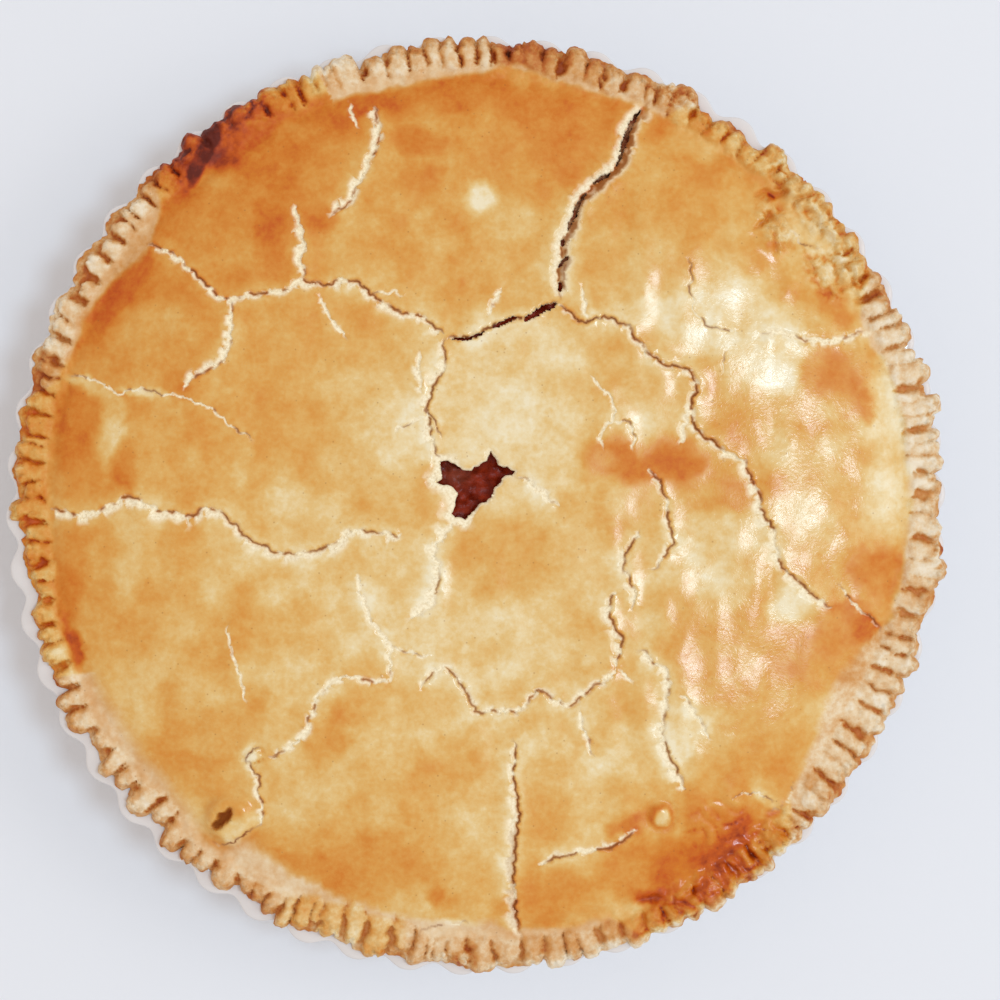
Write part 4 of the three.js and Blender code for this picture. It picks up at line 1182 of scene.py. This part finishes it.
def makeDish(material):
    mesh = bpy.data.meshes.new("dishProfile")
    rows = dish["profile"]
    links = [(i, i + 1) for i in range(len(rows) - 1)]
    mesh.from_pydata([(r * mm, share, z * mm) for r, z, share in rows], links, [])
    guide = bpy.data.objects.new("dishProfile", mesh)
    bpy.context.scene.collection.objects.link(guide)
    tree, source = nodeTree("flutedSweep", [
        ("Profile", "Object"), ("Rows", "Int"), ("Steps", "Int"), ("Flutes", "Float"),
        ("Flute Depth", "Float"), ("Flute Turn", "Float"), ("Crest", "Float"), ("Material", "Material"),
    ])
    grid = node(tree, "GeometryNodeMeshGrid", {"Vertices X": source["Steps"], "Vertices Y": source["Rows"]})
    index = node(tree, "GeometryNodeInputIndex").outputs[0]
    step = calc(tree, "FLOOR", calc(tree, "DIVIDE", index, source["Rows"]))
    row = calc(tree, "SUBTRACT", index, calc(tree, "MULTIPLY", step, source["Rows"]))
    around = calc(tree, "MULTIPLY", step, 2 * math.pi)
    angle = calc(tree, "DIVIDE", around, calc(tree, "SUBTRACT", source["Steps"], 1))
    info = node(tree, "GeometryNodeObjectInfo", {"Object": source["Profile"]})
    place = node(tree, "GeometryNodeInputPosition").outputs[0]
    inputs = {"Geometry": info.outputs["Geometry"], "Value": place, "Index": row}
    sample = node(tree, "GeometryNodeSampleIndex", inputs, data_type="FLOAT_VECTOR", domain="POINT")
    parts = node(tree, "ShaderNodeSeparateXYZ", {0: sample.outputs[0]}).outputs
    phase = calc(tree, "MULTIPLY", calc(tree, "SUBTRACT", angle, source["Flute Turn"]), source["Flutes"])
    wave = calc(tree, "MULTIPLY_ADD", calc(tree, "COSINE", phase), -0.5, 0.5, clamp=True)
    wave = calc(tree, "POWER", wave, source["Crest"])
    inset = calc(tree, "MULTIPLY", calc(tree, "MULTIPLY", wave, source["Flute Depth"]), parts["Y"])
    radius = calc(tree, "SUBTRACT", parts["X"], inset)
    x = calc(tree, "MULTIPLY", radius, calc(tree, "COSINE", angle))
    y = calc(tree, "MULTIPLY", radius, calc(tree, "SINE", angle))
    spot = node(tree, "ShaderNodeCombineXYZ", {"X": x, "Y": y, "Z": parts["Z"]})
    inputs = {"Geometry": grid.outputs["Mesh"], "Position": spot.outputs[0]}
    moved = node(tree, "GeometryNodeSetPosition", inputs).outputs[0]
    merged = node(tree, "GeometryNodeMergeByDistance", {"Geometry": moved, "Distance": 0.02 * mm})
    shaded = node(tree, "GeometryNodeSetShadeSmooth", {"Geometry": merged.outputs[0]})
    endNodes(tree, shaded.outputs[0], source["Material"])
    piece = runNodes("flutedDish", tree, {
        "Profile": guide,
        "Rows": len(rows),
        "Steps": dish["steps"] + 1,
        "Flutes": float(pie["flutes"]),
        "Flute Depth": dish["fluteDepth"] * mm,
        "Flute Turn": math.radians(pie["fluteTurn"]),
        "Crest": dish["crest"],
        "Material": material,
    })
    bpy.data.objects.remove(guide)
    return piece


# crumbs: broken bits scattered along the floury edges
crumbs = {
    "density": 110000.0,  # per square metre of flour
    "size": (0.25, 0.7),
    "flatness": (0.75, 0.6),
    "steepest": 0.55,  # least upward part of the face's direction
    "seed": 7,
}


def makeCrumbs(onto, material):
    tree, source = nodeTree("crumbScatter", [
        ("Surface", "Object"), ("Density", "Float"), ("Smallest", "Float"), ("Largest", "Float"),
        ("Seed", "Int"), ("Material", "Material"),
    ])
    info = node(tree, "GeometryNodeObjectInfo", {"Object": source["Surface"]})
    flour = node(tree, "GeometryNodeInputNamedAttribute", {"Name": "flour"}, data_type="FLOAT")
    flour = calc(tree, "POWER", flour.outputs["Attribute"], 2.0)
    normal = node(tree, "GeometryNodeInputNormal").outputs[0]
    upward = node(tree, "ShaderNodeSeparateXYZ", {0: normal}).outputs["Z"]
    facing = calc(tree, "GREATER_THAN", upward, crumbs["steepest"])
    amount = calc(tree, "MULTIPLY", calc(tree, "MULTIPLY", flour, facing), source["Density"])
    inputs = {"Mesh": info.outputs["Geometry"], "Density": amount, "Seed": source["Seed"]}
    points = node(tree, "GeometryNodeDistributePointsOnFaces", inputs, distribute_method="RANDOM")
    ball = node(tree, "GeometryNodeMeshIcoSphere", {"Radius": 1.0, "Subdivisions": 1})
    inputs = {2: source["Smallest"], 3: source["Largest"], "Seed": source["Seed"]}
    size = node(tree, "FunctionNodeRandomValue", inputs, data_type="FLOAT").outputs[1]
    across, high = (calc(tree, "MULTIPLY", size, share) for share in crumbs["flatness"])
    flat = node(tree, "ShaderNodeCombineXYZ", {"X": size, "Y": across, "Z": high})
    inputs = {0: (0, 0, 0), 1: (0.6, 0.6, 6.28), "Seed": 3}
    turn = node(tree, "FunctionNodeRandomValue", inputs, data_type="FLOAT_VECTOR")
    bits = node(tree, "GeometryNodeInstanceOnPoints", {
        "Points": points.outputs["Points"], "Instance": ball.outputs["Mesh"],
        "Rotation": turn.outputs[0], "Scale": flat.outputs[0],
    })
    endNodes(tree, bits.outputs[0], source["Material"])
    return runNodes("pastryCrumbs", tree, {
        "Surface": onto,
        "Density": crumbs["density"],
        "Smallest": crumbs["size"][0] * mm,
        "Largest": crumbs["size"][1] * mm,
        "Seed": crumbs["seed"],
        "Material": material,
    })


# pastry look: browning runs through a colour ramp, floury and bare places are paler and matt
pastryLook = {
    "glazed": [  # browning, colour
        (0.0, (238, 224, 190)), (0.08, (233, 210, 162)), (0.18, (226, 191, 128)),
        (0.28, (221, 174, 102)), (0.38, (217, 158, 82)), (0.48, (213, 142, 65)), (0.6, (207, 123, 48)),
        (0.75, (194, 90, 32)), (0.88, (150, 56, 14)), (1.0, (96, 30, 0)),
    ],
    "bare": [
        (0.0, (238, 223, 198)), (0.13, (229, 202, 163)), (0.25, (219, 178, 130)), (0.4, (207, 149, 88)),
        (0.6, (188, 108, 52)), (0.8, (160, 74, 34)), (1.0, (112, 48, 20)),
    ],
    "flour": [(232, 214, 178), (249, 236, 204)],
    "speck": (140, 84, 36),
    # colour of the dark crack lines and the pit: painted shade over browned dough
    "gapShadeAndBrown": (140, 74, 22),
    "veil": 0.018,  # light the gloss adds, taken off the colours
    "mottle": (0.3, -0.06, 0.18),  # strength of the broad, crumbly and fine noise
    "gloss": (0.19, 0.16),  # roughness of the egg wash, and how much it varies
    "specular": 0.34,
    "bump": 0.35,
}


def rampOf(tree, value, stops):
    made = node(tree, "ShaderNodeValToRGB", {0: value})
    marks = made.color_ramp.elements
    while len(marks) < len(stops):
        marks.new(0.5)
    for mark, (place, colour) in zip(marks, stops):
        mark.position = place
        veil = pastryLook["veil"] * min(sum(tone(*colour)[:3]) / 0.75, 1)
        mark.color = (*[max(c - veil, 0.002) for c in tone(*colour)[:3]], 1)
    return made.outputs[0]


def attribute(tree, name):
    return node(tree, "ShaderNodeAttribute", attribute_name=name).outputs["Fac"]


def cloud(tree, coords, size, detail=2.0, roughness=0.5, distortion=0.0):
    inputs = {"Vector": coords, "Scale": 1 / (size * mm), "Detail": detail, "Roughness": roughness}
    inputs["Distortion"] = distortion
    return node(tree, "ShaderNodeTexNoise", inputs).outputs["Fac"]


# noise brought to vary by an amount about a middle value
def vary(tree, value, amount, middle=0.0):
    return calc(tree, "MULTIPLY_ADD", value, amount, middle - amount / 2)


def connect(tree, shader, **sockets):
    for name, source in sockets.items():
        tree.links.new(source, shader.inputs[name.replace("_", " ")])


def pastryMaterial():
    made, tree, shader = newMaterial("pastry")
    coords = node(tree, "ShaderNodeTexCoord").outputs["Object"]
    names = ("bake", "flour", "bare", "gapShadeAndBrown", "crumbly", "matt", "wrinkle")
    bake, flour, bare, gapShadeAndBrown, crumbly, matt, wrinkle = (attribute(tree, name) for name in names)
    broad = cloud(tree, coords, 9, 4)
    fine = cloud(tree, coords, 1.6, 3)
    crumble = spread(tree, cloud(tree, coords, 2.4, 5, 0.65), 0.36, 0.64)

    # colour
    byBroad, byCrumble, byFine = pastryLook["mottle"]
    value = calc(tree, "ADD", bake, vary(tree, broad, byBroad))
    value = calc(tree, "ADD", value, vary(tree, crumble, byCrumble))
    flaky = calc(tree, "SUBTRACT", 0.5, crumble)
    flaky = calc(tree, "MULTIPLY", flaky, calc(tree, "MULTIPLY", crumbly, 0.26))
    value = calc(tree, "ADD", value, flaky)
    value = calc(tree, "ADD", value, vary(tree, fine, byFine), clamp=True)
    glazed, dry = (rampOf(tree, value, pastryLook[name]) for name in ("glazed", "bare"))
    colour = blendColour(tree, bare, glazed, dry)
    specks = node(tree, "ShaderNodeTexVoronoi", {"Vector": coords, "Scale": 1 / (2.2 * mm)}).outputs
    chosen = node(tree, "ShaderNodeSeparateColor", {0: specks["Color"]}).outputs[0]
    chosen = calc(tree, "GREATER_THAN", chosen, 0.8)
    speck = calc(tree, "MULTIPLY", spread(tree, specks["Distance"], 0.06, 0.16, 1, 0), chosen)
    colour = blendColour(tree, calc(tree, "MULTIPLY", speck, 0.4), colour, tone(*pastryLook["speck"]))
    grain = spread(tree, cloud(tree, coords, 0.8), 0.35, 0.6)
    pale = blendColour(tree, grain, *(tone(*c) for c in pastryLook["flour"]))
    colour = blendColour(tree, flour, colour, pale)
    # dark crack lines and the pit: painted shade over browned dough
    colour = blendColour(tree, gapShadeAndBrown, colour, tone(*pastryLook["gapShadeAndBrown"]))

    # gloss and fine relief
    least, varied = pastryLook["gloss"]
    roughness = calc(tree, "MULTIPLY_ADD", matt, 0.55, vary(tree, cloud(tree, coords, 4, 3), varied, least))
    roughness = calc(tree, "MULTIPLY_ADD", gapShadeAndBrown, 0.5, roughness, clamp=True)
    ripple = calc(tree, "MULTIPLY", cloud(tree, coords, 1.3, 3.0, distortion=1.0), wrinkle)
    height = calc(tree, "MULTIPLY_ADD", fine, 0.38, calc(tree, "MULTIPLY", ripple, 0.8))
    dusty = calc(tree, "MULTIPLY_ADD", matt, 0.4, 0.12)
    height = calc(tree, "ADD", height, calc(tree, "MULTIPLY", cloud(tree, coords, 0.5), dusty))
    flakes = calc(tree, "MULTIPLY", crumble, calc(tree, "MULTIPLY", crumbly, 3.0))
    height = calc(tree, "ADD", height, flakes)
    inputs = {"Height": height, "Strength": pastryLook["bump"], "Distance": 0.25 * mm}
    bump = node(tree, "ShaderNodeBump", inputs).outputs[0]
    shader.inputs["Specular IOR Level"].default_value = pastryLook["specular"]
    connect(tree, shader, Base_Color=colour, Roughness=roughness, Normal=bump)
    return made


# meat look: dark red patches, a greasy film, and crumbs in the upper crack
meatLook = {
    "meat": [(100, 22, 6), (148, 44, 14)],
    "film": (116, 66, 48),
    "crumb": [(120, 66, 38), (196, 150, 106)],
    "roughness": (0.2, 0.42),
    "specular": 0.12,
}


def meatMaterial():
    made, tree, shader = newMaterial("meat")
    coords = node(tree, "ShaderNodeTexCoord").outputs["Object"]
    patches = cloud(tree, coords, 3.2, 3)
    colour = blendColour(tree, spread(tree, patches, 0.35, 0.68), *(tone(*c) for c in meatLook["meat"]))
    film = calc(tree, "MULTIPLY", attribute(tree, "film"), 0.5)
    colour = blendColour(tree, film, colour, tone(*meatLook["film"]))
    bits = spread(tree, cloud(tree, coords, 1.4), 0.35, 0.65)
    crumb = blendColour(tree, bits, *(tone(*c) for c in meatLook["crumb"]))
    colour = blendColour(tree, attribute(tree, "crumb"), colour, crumb)
    inputs = {"Height": cloud(tree, coords, 1.3, 3), "Strength": 0.5, "Distance": 0.5 * mm}
    bump = node(tree, "ShaderNodeBump", inputs).outputs[0]
    roughness = spread(tree, patches, 0.3, 0.7, *meatLook["roughness"])
    shader.inputs["Specular IOR Level"].default_value = meatLook["specular"]
    connect(tree, shader, Base_Color=colour, Roughness=roughness, Normal=bump)
    return made


# glaze look: smooth white glaze, its colour toned down grey-pink as painted shade, with an unglazed foot
glazeLook = {
    # white toned down grey-pink: painted shade of the crust over the dish lip
    "glaze": (221, 216, 214),
    "foot": (210, 202, 192),
    "footHeight": (0.6, 1.0),  # heights between which the glaze starts
    "roughness": (0.12, 0.6),  # of the glaze, and added on the foot
}


def glazeMaterial():
    made, tree, shader = newMaterial("glaze")
    coords = node(tree, "ShaderNodeTexCoord").outputs["Object"]
    height = node(tree, "ShaderNodeSeparateXYZ", {0: coords}).outputs["Z"]
    foot = spread(tree, height, *(v * mm for v in glazeLook["footHeight"]), 1, 0)
    colour = blendColour(tree, foot, tone(*glazeLook["glaze"]), tone(*glazeLook["foot"]))
    smoothest, added = glazeLook["roughness"]
    roughness = calc(tree, "MULTIPLY_ADD", foot, added, smoothest)
    connect(tree, shader, Base_Color=colour, Roughness=roughness)
    return made


# studio: pale floor, two soft lights from the right, camera straight above
studio = {
    "floor": (228, 230, 235),
    "world": (1.05, 0.965, 0.9),
    "worldStrength": 0.74,
    "lights": [  # name, place, size, power, colour
        ("window", (6.0, 0.2, 5.0), 3.4, 80, (0.93, 0.975, 1.0)),
        ("sky", (1.0, -0.02, 2.8), 0.58, 27.5, (0.62, 0.82, 1.0)),
    ],
    "cameraDistance": 0.8,
    "aim": (7.3, 1.6, 45),  # point under the camera
    "frameWidth": 299.15,  # millimetres across the picture at that point
}


def makeStudio():
    mesh = bpy.data.meshes.new("floor")
    mesh.from_pydata([(-3, -3, 0), (3, -3, 0), (3, 3, 0), (-3, 3, 0)], [], [(0, 1, 2, 3)])
    floor = bpy.data.objects.new("floor", mesh)
    bpy.context.scene.collection.objects.link(floor)
    made, _, shader = newMaterial("tabletop")
    shader.inputs["Base Color"].default_value = tone(*studio["floor"])
    shader.inputs["Roughness"].default_value = 0.9
    shader.inputs["Specular IOR Level"].default_value = 0.05
    mesh.materials.append(made)
    world = bpy.data.worlds.new("studio")
    world.use_nodes = True
    sky = world.node_tree.nodes["Background"].inputs
    sky["Color"].default_value = (*studio["world"], 1)
    sky["Strength"].default_value = studio["worldStrength"]
    bpy.context.scene.world = world
    for name, place, size, power, colour in studio["lights"]:
        light = bpy.data.lights.new(name, "AREA")
        light.shape = "SQUARE"
        light.size = size
        light.energy = power
        light.color = colour
        lamp = bpy.data.objects.new(name, light)
        lamp.location = place
        aim = Vector((0, 0, 0.04)) - Vector(place)
        lamp.rotation_euler = aim.to_track_quat("-Z", "Y").to_euler()
        bpy.context.scene.collection.objects.link(lamp)
    lens = bpy.data.cameras.new("camera")
    lens.sensor_width = 36
    lens.lens = 36 * studio["cameraDistance"] * 1000 / studio["frameWidth"]
    lens.clip_start = 0.01
    lens.clip_end = 20
    camera = bpy.data.objects.new("camera", lens)
    x, y, z = studio["aim"]
    camera.location = (x * mm, y * mm, z * mm + studio["cameraDistance"])
    bpy.context.scene.collection.objects.link(camera)
    bpy.context.scene.camera = camera
    bpy.context.scene.view_settings.view_transform = "Standard"
    print("studio ready")


pastry = pastryMaterial()
pastryCrust = makeCrust(pastry)
meatFilling = makeFilling(meatMaterial())
flutedDish = makeDish(glazeMaterial())
pastryCrumbs = makeCrumbs(pastryCrust, pastry)
dressed = [
    (pastryCrust, "baked_pastry", "crust"),
    (meatFilling, "corned_beef", "filling"),
    (flutedDish, "white_glaze", "dish"),
    (pastryCrumbs, "baked_pastry", None),
]
for piece, slotName, nodeName in dressed:
    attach(piece, "root")
    if nodeName:
        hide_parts(nodeName)
makeStudio()
bpy.context.view_layer.update()
